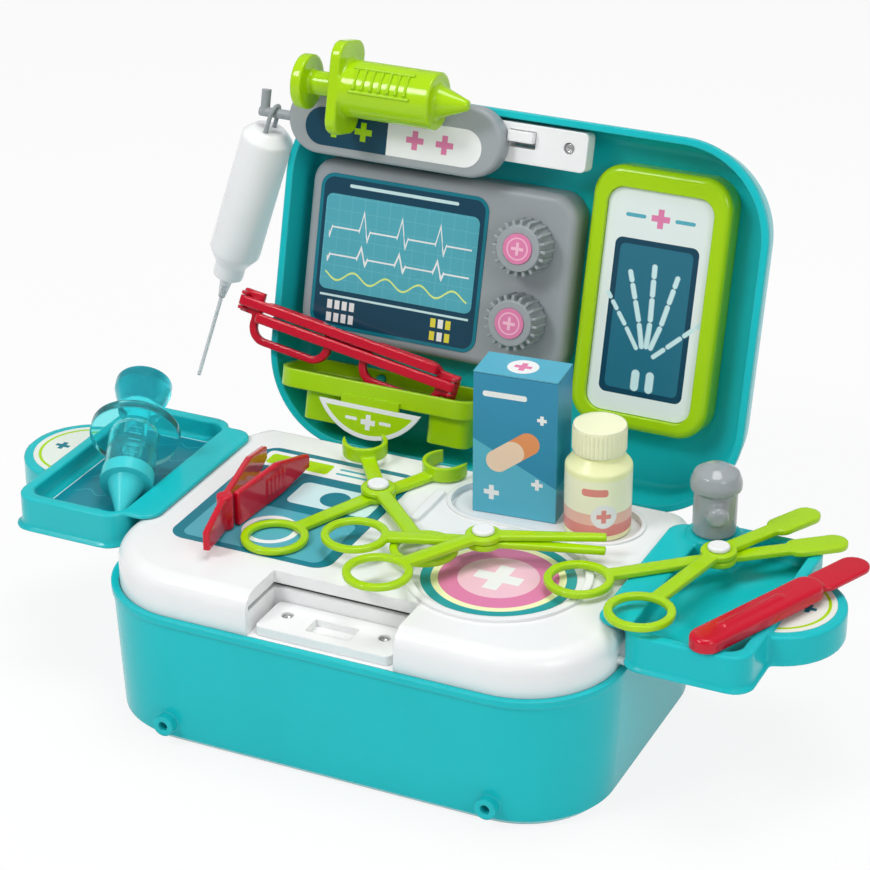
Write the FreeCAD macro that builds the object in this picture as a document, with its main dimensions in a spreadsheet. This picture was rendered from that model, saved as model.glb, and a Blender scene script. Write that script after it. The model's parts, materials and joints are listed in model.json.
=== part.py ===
# Toy doctor case: a two-part carrying case that opens into a play clinic.
# The tub stands on the floor with its origin under its middle, X to the right, Y to the back, Z up.
import FreeCAD, Part
import math
import os
import Sketcher
from FreeCAD import Vector

# Driving dimensions in millimetres and degrees, grouped by the piece that they shape.
SIZES = {
    # Tub and lid outline
    "case_width": 270,
    "case_depth": 194,
    "case_corner": 50,
    "base_height": 72,
    "base_inset": 3.4,
    "base_floor": 3,
    "base_bevel": 4,
    "shell_wall": 2.6,
    "rim_lip": 0.8,
    "rim_height": 3.5,
    "mouth_wall": 3.2,
    "ledge_width": 1.8,
    "ledge_drop": 8,
    "fit_gap": 0.3,
    "running_gap": 0.05,
    "pin_gap": 0.02,
    "lid_depth": 28,
    "lid_inset": 3,
    "lid_round": 8,
    "lid_round_steps": 4,
    "lid_lean": 14,
    # Strap studs on the front wall
    "stud_margin": 48,
    "stud_rise": 11.7,
    "stud_radius": 5.4,
    "stud_bore": 2.5,
    "stud_reach": 5.5,
    "stud_depth": 6,
    # Hinge
    "hinge_offset": 3.5,
    "hinge_margin": 10,
    "knuckle_width": 20,
    "lug_width": 8,
    "lug_radius": 2.5,
    "pin_radius": 1,
    "stop_spacing": 30,
    "stop_width": 6,
    "stop_gap": 0.1,
    # Deck
    "deck_top": 93,
    "deck_step": 24,
    "deck_shoulder": 9,
    "deck_wall": 2.6,
    "deck_plate": 6.5,
    "ledge_top": 71,
    "tray_peg_radius": 2.2,
    "tray_peg_rise": 76.5,
    "tray_peg_front": -46,
    "tray_peg_back": 50,
    "tray_peg_length": 5,
    "tray_peg_root": 20,
    "ridge_place": -1,
    "ridge_front": 61,
    "ridge_rear": 31,
    "ridge_half": 2.5,
    "ridge_height": 2,
    "dish_x": 60,
    "dish_place": 96,
    "dish_radius": 42,
    "dish_ring": 4,
    "dish_ring_height": 1.5,
    "dish_depth": 1.5,
    "recess_left": 5,
    "recess_right": 105.5,
    "recess_width": 40.5,
    "recess_margin": 6,
    "recess_depth": 2.5,
    "recess_ring": 2.5,
    "recess_ring_height": 1,
    "sticker_thickness": 0.3,
    "deck_label_inset": 24.5,
    "deck_label_right": -18,
    "deck_label_setback": 43,
    "deck_label_margin": 18,
    "deck_label_corner": 9,
    # Latch
    "latch_x": -2,
    "latch_half": 36,
    "latch_setback": 6,
    "latch_length": 27,
    "latch_height": 5,
    "notch_gap": 3,
    "latch_shelf_wall": 3,
    "slot_half": 11.5,
    "slot_length": 11.5,
    "slot_setback": 12,
    "slot_depth": 3.5,
    "latch_screw_spread": 26,
    "latch_screw_setback": 15.5,
    "screw_head_radius": 2.7,
    "screw_head_height": 1.8,
    "screw_radius": 1.5,
    "screw_length": 8,
    "screw_sink": 3,
    "lid_latch_margin": 4.8,
    "lid_latch_height": 20.7,
    "lid_latch_depth": 10,
    "lid_boss_radius": 4.5,
    "lid_screw_drop": 9.2,
    "tongue_half": 7,
    "tongue_height": 5.6,
    "tongue_drop": 6.6,
    "tongue_reach": 4,
    "tongue_travel": 3,
    "tongue_plate": 2,
    "tongue_plate_margin": 3,
    # Monitor
    "monitor_margin": 11.5,
    "monitor_gap": 6,
    "monitor_low": 57,
    "monitor_headroom": 39,
    "monitor_corner": 14,
    "monitor_face": -6,
    "monitor_edge": 5,
    "monitor_wall": 2.5,
    "screen_margin": 6.5,
    "knob_strip": 48.5,
    "screen_rise": 6,
    "screen_headroom": 8,
    "screen_corner": 8,
    "knob_margin": 24.5,
    "knob_pitch": 39.5,
    "knob_base_radius": 14,
    "knob_front_radius": 12,
    "knob_height": 15,
    "knob_stem_radius": 3,
    "knob_snap_radius": 4.2,
    "knob_snap_height": 2.5,
    "knob_rib_count": 20,
    "knob_rib_width": 1.6,
    "knob_rib_proud": 0.9,
    "knob_cap_radius": 8,
    "knob_cap_height": 2,
    "knob_cap_sink": 1.4,
    # Picture panel
    "panel_margin": 23.5,
    "panel_width": 75.5,
    "panel_low": 38,
    "panel_headroom": 19,
    "panel_corner": 16,
    "panel_face": -9,
    "panel_edge": 4,
    "card_side": 8.5,
    "card_rise": 8,
    "card_headroom": 11,
    "card_corner": 9,
    "card_sink": 3,
    "card_thickness": 0.6,
    # Shelf
    "shelf_margin": 11,
    "shelf_width": 115,
    "shelf_low": 31,
    "shelf_high": 41,
    "shelf_front": 14,
    "shelf_corner": 10,
    "shelf_wall": 2.5,
    "cup_low": 14.5,
    "cup_width": 24,
    "cup_front": 9,
    "cup_depth": 24,
    "cup_corner": 5,
    "cup_left_place": 27,
    "cup_right_place": 100,
    "hook_left_place": 46,
    "hook_right_place": 86,
    "hook_rise": 36,
    "hook_radius": 2.5,
    "hook_length": 5,
    "badge_chord": 29,
    "badge_radius": 34,
    "badge_centre_rise": 45,
    "badge_thickness": 1.6,
    # Glasses
    "glasses_place": 36,
    "glasses_s": 53.1,
    "glasses_off": 4.7,
    "glasses_turn": -8.5,
    "glasses_tilt": -8,
    "glasses_half": 67,
    "glasses_thickness": 4,
    "lens_width": 50,
    "lens_height": 24,
    "lens_rim": 4.2,
    "lens_corner": 10.5,
    "bridge_width": 18,
    "bridge_height": 7,
    "end_height": 13,
    "temple_length": 118,
    "temple_height": 5.6,
    "temple_thickness": 4.2,
    "temple_gap": 0.6,
    "temple_upper": 9,
    "temple_lower": 2.4,
    "glasses_pin_radius": 1,
    "glasses_lug": 4,
    # Sign bar, hook arm and hanging bottle
    "sign_margin": 2,
    "sign_overtop": 1,
    "sign_height": 37,
    "sign_front": 10,
    "sign_round": 2.5,
    "sign_label_inset": 11,
    "sign_label_rise": 5,
    "sign_label_height": 20,
    "sign_clip_gap": 10,
    "sign_clip_half": 12,
    "sign_clip_depth": 9,
    "sign_clip_wall": 2.5,
    "arm_radius": 2.6,
    "arm_overhang": 19,
    "arm_height": 17,
    "arm_off": 5,
    "arm_socket": 12,
    "arm_finger": 12,
    "drip_overhang": 10.8,
    "drip_tilt": 18,
    "drip_radius": 14.2,
    "drip_length": 78,
    "drip_round": 5,
    "drip_shoulder": 9,
    "drip_collar_radius": 8.6,
    "drip_collar": 8,
    "nozzle_radius": 4,
    "nozzle_length": 14,
    "needle_radius": 1.1,
    "needle_length": 54,
    "bail_radius": 5,
    "bail_wire": 1.2,
    "bail_leg": 9,
    "bail_sink": 4,
    # Lime syringe on the sign bar
    "lime_overtop": 3,
    "lime_barrel_radius": 15,
    "lime_bore": 12.5,
    "lime_place": 36,
    "lime_length": 57,
    "lime_flange": 6,
    "lime_flange_height": 49,
    "lime_flange_width": 30,
    "lime_tip_length": 17,
    "lime_tip_root": 9,
    "lime_tip_end": 2.6,
    "lime_wall_end": 4,
    "lime_disc_radius": 14.5,
    "lime_disc": 6,
    "lime_rod_radius": 6.5,
    "lime_out": 16,
    "lime_piston": 8,
    "lime_rod_inside": 30,
    "cradle_place": 31,
    "cradle_half": 10,
    "cradle_rise": 25.5,
    "cradle_height": 4.5,
    # Side trays
    "tray_lap": 12.8,
    "tray_inset": 1,
    "tray_width": 63,
    "tray_front": -54,
    "tray_back": 69,
    "tray_corner": 11,
    "tray_flange_front": -47,
    "tray_flange_back": 62,
    "tray_flange_corner": 10,
    "tray_lip": 2.5,
    "tray_bottom": 77,
    "tray_floor": 85,
    "tray_wall": 2.5,
    "tray_lip_width": 6,
    "tray_skirt": 2,
    "tray_skirt_height": 1.8,
    "tab_inset": 7,
    "tab_y": 9,
    "tab_radius": 34,
    "tab_drop": 2.5,
    "tab_sticker_margin": 5,
    # Clear syringe in the left tray
    "teal_tip_place": 8,
    "teal_tip_y": -40,
    "teal_tip_rise": 3.4,
    "teal_yaw": 21,
    "teal_slope": 22,
    "teal_tip_radius": 2,
    "teal_tip_length": 24,
    "teal_tip_root": 10.5,
    "teal_plug_length": 6,
    "teal_barrel_radius": 13.2,
    "teal_bore": 11.4,
    "teal_barrel_start": 24,
    "teal_flange_start": 54,
    "teal_flange": 5,
    "teal_flange_radius": 23.5,
    "teal_out": 27,
    "teal_cup": 13,
    "teal_cup_radius": 11,
    "teal_disc_radius": 15,
    "teal_disc": 5,
    "teal_rod_radius": 6,
    "teal_piston": 7,
    "teal_piston_start": 40,
    # Tap on the right tray
    "tap_place": 8,
    "tap_y": 55,
    "tap_boss_radius": 14,
    "tap_boss_height": 2.5,
    "tap_spigot_radius": 5,
    "tap_spigot_length": 6,
    "tap_post_radius": 11,
    "tap_post_height": 24,
    "tap_cap_radius": 13,
    "tap_cap_height": 13,
    "tap_cap_edge": 4,
    "tap_cap_shoulder": 8.8,
    "tap_cap_shoulder_radius": 11.2,
    "tap_cap_crown": 12,
    "tap_cap_crown_radius": 6,
    "tap_neck": 8,
    "tap_spout_radius": 5.5,
    "tap_spout_round": 3,
    "tap_spout_rise": 14,
    "tap_spout_reach": 5,
    "tap_spout_turn": -65,
    "tap_outlet": 2.5,
    "tap_outlet_setback": 4,
    # Scalpel
    "scalpel_place": 38,
    "scalpel_y": -56,
    "scalpel_turn": -23,
    "scalpel_handle": 78,
    "scalpel_half": 8,
    "scalpel_thickness": 7,
    "scalpel_round": 2.2,
    "scalpel_neck": 12,
    "scalpel_neck_half": 4.5,
    "scalpel_blade": 42,
    "scalpel_blade_half": 8,
    "scalpel_blade_lift": 2,
    "scalpel_blade_thickness": 2.6,
    "scalpel_grip_margin": 20,
    "scalpel_grip_half": 2,
    "scalpel_grip_height": 0.9,
    # Tweezers
    "tweezers_x": -83,
    "tweezers_place": 109,
    "tweezers_turn": 12.3,
    "tweezers_spread": 17,
    "tweezers_arm": 71,
    "tweezers_tail": 33,
    "tweezers_height": 18.5,
    "tweezers_tip_height": 7,
    "tweezers_tip_lift": 4,
    "tweezers_straight": 42.6,
    "tweezers_rib_low": 4.6,
    "tweezers_rib_height": 9.2,
    "tweezers_thickness": 3.4,
    "tweezers_knuckle": 4.2,
    "tweezers_rib_count": 5,
    "tweezers_rib_start": 30,
    "tweezers_rib_pitch": 3.6,
    "tweezers_rib_proud": 0.7,
    # Pivoted instruments
    "tool_thickness": 3.2,
    "tool_half": 4,
    "ring_radius": 17,
    "ring_width": 4.2,
    "pivot_radius": 9,
    "rivet_radius": 3,
    "rivet_head": 5.5,
    "rivet_head_height": 2,
    "clamp_x": -28,
    "clamp_place": 48,
    "clamp_reach": 68,
    "clamp_jaw_reach": 32,
    "clamp_jaw_radius": 12,
    "clamp_jaw_wall": 2.8,
    "clamp_mouth_half": 9.6,
    "clamp_jaw_height": 8,
    "clamp_first_handle": 247,
    "clamp_first_jaw": 64,
    "clamp_second_handle": 315,
    "clamp_second_jaw": 125,
    "scissors_x": 46,
    "scissors_place": 83,
    "scissors_reach": 63,
    "scissors_blade": 60,
    "scissors_tip": 0.8,
    "scissors_first_handle": 199,
    "scissors_first_blade": 14,
    "scissors_second_handle": 241,
    "scissors_second_blade": 24,
    "forceps_place": 19,
    "forceps_y": 30.5,
    "forceps_reach": 72,
    "forceps_blade": 42,
    "forceps_paddle": 18,
    "forceps_paddle_half": 7,
    "forceps_first_handle": 222,
    "forceps_first_blade": 39,
    "forceps_second_handle": 259,
    "forceps_second_blade": 63,
    # Carton and bottle
    "carton_x": 40,
    "carton_behind": 4.25,
    "carton_width": 44,
    "carton_depth": 24,
    "carton_height": 77,
    "carton_turn": 5,
    "carton_wall": 0.8,
    "flap_length": 11.5,
    "flap_inset": 3.6,
    "bottle_x": 83,
    "bottle_behind": 0.75,
    "bottle_radius": 17,
    "bottle_body": 36,
    "bottle_shoulder": 7,
    "bottle_neck": 11,
    "bottle_neck_height": 9,
    "bottle_wall": 1.8,
    "bottle_floor": 2.5,
    "cap_radius": 13.3,
    "cap_height": 14,
}


class Length:
    """A size that carries both its value and the sheet formula that gives it."""

    def __init__(self, value, text):
        self.value = value
        self.text = text

    def join(self, other, sign, value):
        return Length(value, f"({self.text} {sign} {as_length(other).text})")

    def __add__(self, other):
        return self.join(other, "+", self.value + as_length(other).value)

    def __radd__(self, other):
        return as_length(other) + self

    def __sub__(self, other):
        return self.join(other, "-", self.value - as_length(other).value)

    def __rsub__(self, other):
        return as_length(other) - self

    def __mul__(self, other):
        return self.join(other, "*", self.value * as_length(other).value)

    def __rmul__(self, other):
        return as_length(other) * self

    def __truediv__(self, other):
        return self.join(other, "/", self.value / as_length(other).value)

    def __neg__(self):
        return Length(-self.value, f"(-{self.text})")


def as_length(number):
    return number if isinstance(number, Length) else Length(float(number), repr(float(number)))


def sine(angle):
    return Length(math.sin(math.radians(angle.value)), f"sin({angle.text} * 1 deg)")


def cosine(angle):
    return Length(math.cos(math.radians(angle.value)), f"cos({angle.text} * 1 deg)")


doc = FreeCAD.newDocument("ToyDoctorCase")
sheet = doc.addObject("Spreadsheet::Sheet", "Sizes")
for row, (alias, number) in enumerate(SIZES.items(), start=1):
    sheet.set(f"A{row}", alias)
    sheet.set(f"B{row}", str(number))
    sheet.setAlias(f"B{row}", alias)
doc.recompute()


class SheetSizes:
    """Gives each size by its name in the sheet."""

    def __getattr__(self, alias):
        return Length(float(sheet.get(alias)), "Sizes." + alias)


size = SheetSizes()

# Places that follow from those sizes: each is measured from the edge or the piece that it belongs to.
half_width = size.case_width / 2
half_depth = size.case_depth / 2
size.hinge_spread = half_width - size.case_corner - size.hinge_margin
size.stop_spread = size.hinge_spread - size.stop_spacing
size.stud_spread = half_width - size.stud_margin
size.deck_half = half_width - size.mouth_wall - size.fit_gap
size.deck_back = half_depth - size.deck_step
size.dish_y = size.deck_back - size.dish_place
size.recess_back = size.deck_back - size.recess_margin
size.recess_front = size.recess_back - size.recess_width
size.ridge_start = size.deck_back - size.ridge_front
size.ridge_end = size.deck_back - size.ridge_rear
size.deck_label_left = size.deck_label_inset - size.deck_half
size.deck_label_front = size.deck_label_setback - half_depth
size.deck_label_back = size.deck_back - size.deck_label_margin
size.clamp_y = size.deck_back - size.clamp_place
size.scissors_y = size.deck_back - size.scissors_place
size.tweezers_y = size.deck_back - size.tweezers_place
size.latch_front = size.latch_setback - half_depth
size.latch_back = size.latch_front + size.latch_length
size.slot_place = size.latch_front + size.slot_setback
size.latch_screw_y = size.latch_front + size.latch_screw_setback
size.lid_latch_high = size.case_depth - size.lid_latch_margin
size.lid_latch_low = size.lid_latch_high - size.lid_latch_height
size.lid_screw_place = size.lid_latch_high - size.lid_screw_drop
size.tongue_place = size.lid_latch_high - size.tongue_drop
size.panel_right = half_width - size.panel_margin
size.panel_left = size.panel_right - size.panel_width
size.panel_high = size.case_depth - size.panel_headroom
size.card_left = size.panel_left + size.card_side
size.card_right = size.panel_right - size.card_side
size.card_low = size.panel_low + size.card_rise
size.card_high = size.panel_high - size.card_headroom
size.monitor_left = size.monitor_margin - half_width
size.monitor_right = size.panel_left - size.monitor_gap
size.monitor_high = size.case_depth - size.monitor_headroom
size.screen_left = size.monitor_left + size.screen_margin
size.screen_right = size.monitor_right - size.knob_strip
size.screen_low = size.monitor_low + size.screen_rise
size.screen_high = size.monitor_high - size.screen_headroom
size.knob_x = size.monitor_right - size.knob_margin
size.knob_upper = (size.monitor_low + size.monitor_high + size.knob_pitch) / 2
size.knob_lower = size.knob_upper - size.knob_pitch
size.shelf_left = size.shelf_margin - half_width
size.shelf_right = size.shelf_left + size.shelf_width
size.cup_left_x = size.shelf_left + size.cup_left_place
size.cup_right_x = size.shelf_left + size.cup_right_place
size.hook_left_x = size.shelf_left + size.hook_left_place
size.hook_right_x = size.shelf_left + size.hook_right_place
size.badge_x = size.shelf_left + size.shelf_width / 2
size.glasses_x = size.shelf_left + size.glasses_place
size.sign_left = size.sign_margin - half_width
size.sign_right = size.latch_x - size.tongue_half
size.sign_high = size.case_depth + size.sign_overtop
size.sign_low = size.sign_high - size.sign_height
size.sign_label_low = size.sign_low + size.sign_label_rise
size.sign_label_high = size.sign_label_low + size.sign_label_height
size.sign_clip_x = size.latch_x - size.latch_half - size.sign_clip_gap - size.sign_clip_half
size.arm_rise = size.sign_low + size.arm_height
size.arm_reach = size.arm_overhang - size.sign_left
size.drip_x = size.sign_left - size.drip_overhang
size.lime_s = size.case_depth + size.lime_overtop
size.lime_start = size.sign_left + size.lime_place
size.lime_end = size.lime_start + size.lime_length
size.cradle_x = size.lime_start + size.cradle_place
size.cradle_low = size.sign_low + size.cradle_rise
size.cradle_high = size.cradle_low + size.cradle_height
size.tray_inner = size.deck_half - size.tray_lap
size.tray_wall_start = half_width - size.tray_inset
size.tray_outer = size.tray_wall_start + size.tray_width
size.tab_x = size.tray_outer - size.tab_inset
size.tray_peg_reach = size.tray_wall_start + size.tray_peg_length
size.tap_x = size.tray_wall_start + size.tap_place
size.teal_tip_x = -size.tray_wall_start - size.teal_tip_place
size.scalpel_x = size.tray_wall_start + size.scalpel_place
size.forceps_x = size.tray_wall_start + size.forceps_place
size.carton_y = (size.recess_front + size.recess_back) / 2 + size.carton_behind
size.bottle_y = (size.recess_front + size.recess_back) / 2 + size.bottle_behind
subparts = []


def bind(item, path, length):
    item.setExpression(path, as_length(length).text)


def turn(axis, angle):
    """Formula of a rotation about an axis through the origin."""
    x, y, z = axis
    return f"placement(vector(0; 0; 0); rotation(vector({x}; {y}; {z}); {as_length(angle).text}))"


def shift(x, y, z):
    """Formula of a move."""
    a, b, c = (as_length(v).text for v in (x, y, z))
    return f"placement(vector({a}; {b}; {c}); rotation(vector(0; 0; 1); 0))"


# The open lid's own frame: X to the right, Y up along the lid from its hinge edge, Z out of the rim.
hinge_y = size.case_depth / 2 + size.hinge_offset
lid_origin_y = hinge_y + size.hinge_offset * sine(size.lid_lean)
lid_origin_z = size.base_height + size.hinge_offset * cosine(size.lid_lean)
LID = shift(0, lid_origin_y, lid_origin_z) + " * " + turn((1, 0, 0), 90 - size.lid_lean)
lid_floor = size.shell_wall - size.lid_depth


class Piece:
    """One sub-part: a body whose features are added in order, from heights along a plane's normal."""

    def __init__(self, label, *frames):
        self.body = doc.addObject("PartDesign::Body", label)
        self.body.Label = label
        if frames:
            self.body.setExpression("Placement", " * ".join(frames))
        subparts.append(self.body)

    def sketch(self, plane, height):
        sketch = self.body.newObject("Sketcher::SketchObject", "Sketch")
        origin = next(f for f in self.body.Origin.OriginFeatures if f.Role == plane)
        sketch.AttachmentSupport = [(origin, "")]
        sketch.MapMode = "FlatFace"
        bind(sketch, "AttachmentOffset.Base.z", height)
        return sketch

    def raise_or_cut(self, sketch, length, cut):
        kind = "PartDesign::Pocket" if cut else "PartDesign::Pad"
        feature = self.body.newObject(kind, "Pocket" if cut else "Pad")
        feature.Profile = sketch
        feature.Reversed = cut
        bind(feature, "Length", length)
        return feature

    def plate(self, left, right, bottom, top, corner, height, length, cut=False, plane="XY_Plane"):
        sketch = self.sketch(plane, height)
        rounded_rectangle(sketch, left, right, bottom, top, corner)
        return self.raise_or_cut(sketch, length, cut)

    def block(self, left, right, bottom, top, height, length, cut=False, plane="XY_Plane"):
        corners = [(left, bottom), (right, bottom), (right, top), (left, top)]
        return self.prism(corners, height, length, cut, plane)

    def prism(self, points, height, length, cut=False, plane="XY_Plane"):
        sketch = self.sketch(plane, height)
        polygon(sketch, points)
        return self.raise_or_cut(sketch, length, cut)

    def disc(self, x, y, radius, height, length, cut=False, plane="XY_Plane"):
        sketch = self.sketch(plane, height)
        circle(sketch, x, y, radius)
        return self.raise_or_cut(sketch, length, cut)

    def bar(self, start, end, half, height, length, cut=False, plane="XY_Plane"):
        sketch = self.sketch(plane, height)
        stadium(sketch, start, end, half)
        return self.raise_or_cut(sketch, length, cut)

    def skin(self, sections, cut=False):
        """A ruled shell through rounded rectangles, each (left, right, bottom, top, corner, height)."""
        profiles = []
        for *edges, height in sections:
            profiles.append(self.sketch("XY_Plane", height))
            rounded_rectangle(profiles[-1], *edges)
        kind = "PartDesign::SubtractiveLoft" if cut else "PartDesign::AdditiveLoft"
        loft = self.body.newObject(kind, "Loft")
        loft.Profile = profiles[0]
        loft.Sections = profiles[1:]
        loft.Ruled = True
        return loft

    def turned(self, points, cut=False):
        """A solid of revolution about the body's Z axis through (radius, height) points."""
        sketch = self.sketch("XZ_Plane", 0)
        polygon(sketch, points)
        kind = "PartDesign::Groove" if cut else "PartDesign::Revolution"
        feature = self.body.newObject(kind, "Turned")
        feature.Profile = sketch
        feature.ReferenceAxis = (sketch, ["V_Axis"])
        feature.Angle = 360
        return feature

    def fillet(self, radius, chosen):
        doc.recompute()
        base = self.body.Tip
        names = [f"Edge{i}" for i, edge in enumerate(base.Shape.Edges, start=1) if chosen(edge)]
        fillet = self.body.newObject("PartDesign::Fillet", "Fillet")
        fillet.Base = (base, names)
        bind(fillet, "Radius", radius)
        return fillet

    def polar(self, feature, sketch, count):
        pattern = self.body.newObject("PartDesign::PolarPattern", "Pattern")
        pattern.Originals = [feature]
        pattern.Axis = (sketch, ["N_Axis"])
        pattern.Angle = 360
        bind(pattern, "Occurrences", count)
        self.body.Tip = pattern
        return pattern


def fix(sketch, constraint, length):
    index = sketch.addConstraint(constraint)
    bind(sketch, f"Constraints[{index}]", length)


def fix_point(sketch, geometry, point, x, y):
    fix(sketch, Sketcher.Constraint("DistanceX", geometry, point, as_length(x).value), x)
    fix(sketch, Sketcher.Constraint("DistanceY", geometry, point, as_length(y).value), y)


def line(x0, y0, x1, y1):
    return Part.LineSegment(Vector(x0, y0, 0), Vector(x1, y1, 0))


def arc(x, y, radius, start, end):
    whole = Part.Circle(Vector(x, y, 0), Vector(0, 0, 1), radius)
    return Part.ArcOfCircle(whole, math.radians(start), math.radians(end))


def rounded_rectangle(sketch, left, right, bottom, top, corner):
    x0, x1, y0, y1, r = (as_length(v).value for v in (left, right, bottom, top, corner))
    sketch.addGeometry([
        line(x0 + r, y0, x1 - r, y0), arc(x1 - r, y0 + r, r, 270, 360),
        line(x1, y0 + r, x1, y1 - r), arc(x1 - r, y1 - r, r, 0, 90),
        line(x1 - r, y1, x0 + r, y1), arc(x0 + r, y1 - r, r, 90, 180),
        line(x0, y1 - r, x0, y0 + r), arc(x0 + r, y0 + r, r, 180, 270),
    ])
    rules = [Sketcher.Constraint("Tangent", i, 2, (i + 1) % 8, 1) for i in range(8)]
    rules += [Sketcher.Constraint("Horizontal", 0), Sketcher.Constraint("Horizontal", 4)]
    rules += [Sketcher.Constraint("Vertical", 2), Sketcher.Constraint("Vertical", 6)]
    rules += [Sketcher.Constraint("Equal", 1, i) for i in (3, 5, 7)]
    sketch.addConstraint(rules)
    fix(sketch, Sketcher.Constraint("DistanceX", 6, 1, x0), left)
    fix(sketch, Sketcher.Constraint("DistanceX", 2, 1, x1), right)
    fix(sketch, Sketcher.Constraint("DistanceY", 0, 1, y0), bottom)
    fix(sketch, Sketcher.Constraint("DistanceY", 4, 1, y1), top)
    fix(sketch, Sketcher.Constraint("Radius", 1, r), corner)


def polygon(sketch, points):
    values = [(as_length(x).value, as_length(y).value) for x, y in points]
    count = len(points)
    sketch.addGeometry([line(*values[i], *values[(i + 1) % count]) for i in range(count)])
    sketch.addConstraint([Sketcher.Constraint("Coincident", i, 2, (i + 1) % count, 1) for i in range(count)])
    for i, (x, y) in enumerate(points):
        fix_point(sketch, i, 1, x, y)


def circle(sketch, x, y, radius):
    centre = Vector(as_length(x).value, as_length(y).value, 0)
    sketch.addGeometry(Part.Circle(centre, Vector(0, 0, 1), as_length(radius).value))
    fix_point(sketch, 0, 3, x, y)
    fix(sketch, Sketcher.Constraint("Radius", 0, as_length(radius).value), radius)


def stadium(sketch, start, end, half):
    """A bar with round ends between two centres."""
    (ax, ay), (bx, by) = ([as_length(v).value for v in point] for point in (start, end))
    r = as_length(half).value
    way = math.atan2(by - ay, bx - ax)
    degrees = math.degrees(way)
    nx, ny = -r * math.sin(way), r * math.cos(way)
    sketch.addGeometry([
        line(ax - nx, ay - ny, bx - nx, by - ny), arc(bx, by, r, degrees - 90, degrees + 90),
        line(bx + nx, by + ny, ax + nx, ay + ny), arc(ax, ay, r, degrees + 90, degrees + 270),
    ])
    sketch.addConstraint([Sketcher.Constraint("Tangent", i, 2, (i + 1) % 4, 1) for i in range(4)])
    sketch.addConstraint(Sketcher.Constraint("Equal", 1, 3))
    fix_point(sketch, 3, 3, *start)
    fix_point(sketch, 1, 3, *end)
    fix(sketch, Sketcher.Constraint("Radius", 1, r), half)


def group(label, pieces):
    """Identical separate solids kept together as one sub-part."""
    compound = doc.addObject("Part::Compound", label)
    compound.Label = label
    compound.Links = pieces
    subparts.append(compound)


def at_height(height):
    return lambda edge: abs(edge.BoundBox.ZMin - height) < 1e-4 and edge.BoundBox.ZLength < 1e-4


def outline(inset, bottom=None):
    """The case's outline drawn in by an inset, about the tub's middle or up from the lid's hinge edge."""
    half = size.case_width / 2 - inset
    deep = size.case_depth / 2 - inset
    low = -deep if bottom is None else bottom + inset
    high = deep if bottom is None else bottom + size.case_depth - inset
    return (-half, half, low, high, size.case_corner - inset)


# Tub: a tapering moulded shell with a proud rim, an inner ledge for the deck and two strap studs.
ledge_rise = size.base_height - size.ledge_drop
below_ledge = size.mouth_wall + size.ledge_width
base = Piece("base_shell")
base.skin([(*outline(size.base_inset + size.base_bevel), 0),
           (*outline(size.base_inset), size.base_bevel),
           (*outline(0), size.base_height)])
base.plate(*outline(-size.rim_lip), size.base_height - size.rim_height, size.rim_height)
for side in (-1, 1):
    for edge in (-1, 1):
        lug_x = side * size.hinge_spread + edge * (size.knuckle_width + size.lug_width) / 2
        lug = [lug_x - size.lug_width / 2, size.lug_width]
        base.disc(hinge_y, size.base_height, size.lug_radius, *lug, plane="YZ_Plane")
        base.block(size.case_depth / 2 - size.shell_wall, hinge_y, size.base_height - size.lug_radius,
                   size.base_height, *lug, plane="YZ_Plane")
    # The heel behind the rim that the open lid leans back on.
    rest_drop = size.rim_lip + size.stop_gap
    rest_y = lid_origin_y - rest_drop * sine(size.lid_lean)
    rest_z = lid_origin_z - rest_drop * cosine(size.lid_lean)
    heel = [(size.case_depth / 2 - size.shell_wall, size.base_height - size.rim_height),
            (rest_y + size.hinge_offset * cosine(size.lid_lean), size.base_height - size.rim_height),
            (rest_y + size.hinge_offset * cosine(size.lid_lean),
             rest_z - size.hinge_offset * sine(size.lid_lean)),
            (rest_y, rest_z),
            (size.case_depth / 2 - size.shell_wall, rest_z)]
    base.prism(heel, side * size.stop_spread - size.stop_width / 2, size.stop_width, plane="YZ_Plane")
    # Strap studs stand out of the front wall and are bored for a peg.
    stud_face = size.case_depth / 2 - size.base_inset + size.stud_reach
    base.disc(side * size.stud_spread, size.stud_rise, size.stud_radius, stud_face - size.stud_reach * 2,
              size.stud_reach * 2, plane="XZ_Plane")
base.plate(*outline(size.mouth_wall), ledge_rise, size.ledge_drop + size.hinge_offset, cut=True)
base.skin([(*outline(size.base_inset + size.shell_wall), size.base_floor),
           (*outline(below_ledge), ledge_rise)], cut=True)
for side in (-1, 1):
    base.disc(side * size.stud_spread, size.stud_rise, size.stud_bore, stud_face - size.stud_depth,
              size.stud_depth, cut=True, plane="XZ_Plane")
    bore_start = side * size.hinge_spread - size.knuckle_width / 2 - size.lug_width
    base.disc(hinge_y, size.base_height, size.pin_radius + size.pin_gap, bore_start,
              size.knuckle_width + size.lug_width * 2, cut=True, plane="YZ_Plane")

# Hinge pins: one steel pin through each knuckle and its two lugs.
pins = []
for side in (-1, 1):
    pin = doc.addObject("Part::Cylinder", "HingePin")
    bind(pin, "Radius", size.pin_radius)
    bind(pin, "Height", size.knuckle_width + size.lug_width * 2)
    pin_start = side * size.hinge_spread - size.knuckle_width / 2 - size.lug_width
    pin.setExpression("Placement", shift(pin_start, hinge_y, size.base_height) + " * " + turn((0, 1, 0), 90))
    pins.append(pin)
group("hinge_pins", pins)

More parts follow.
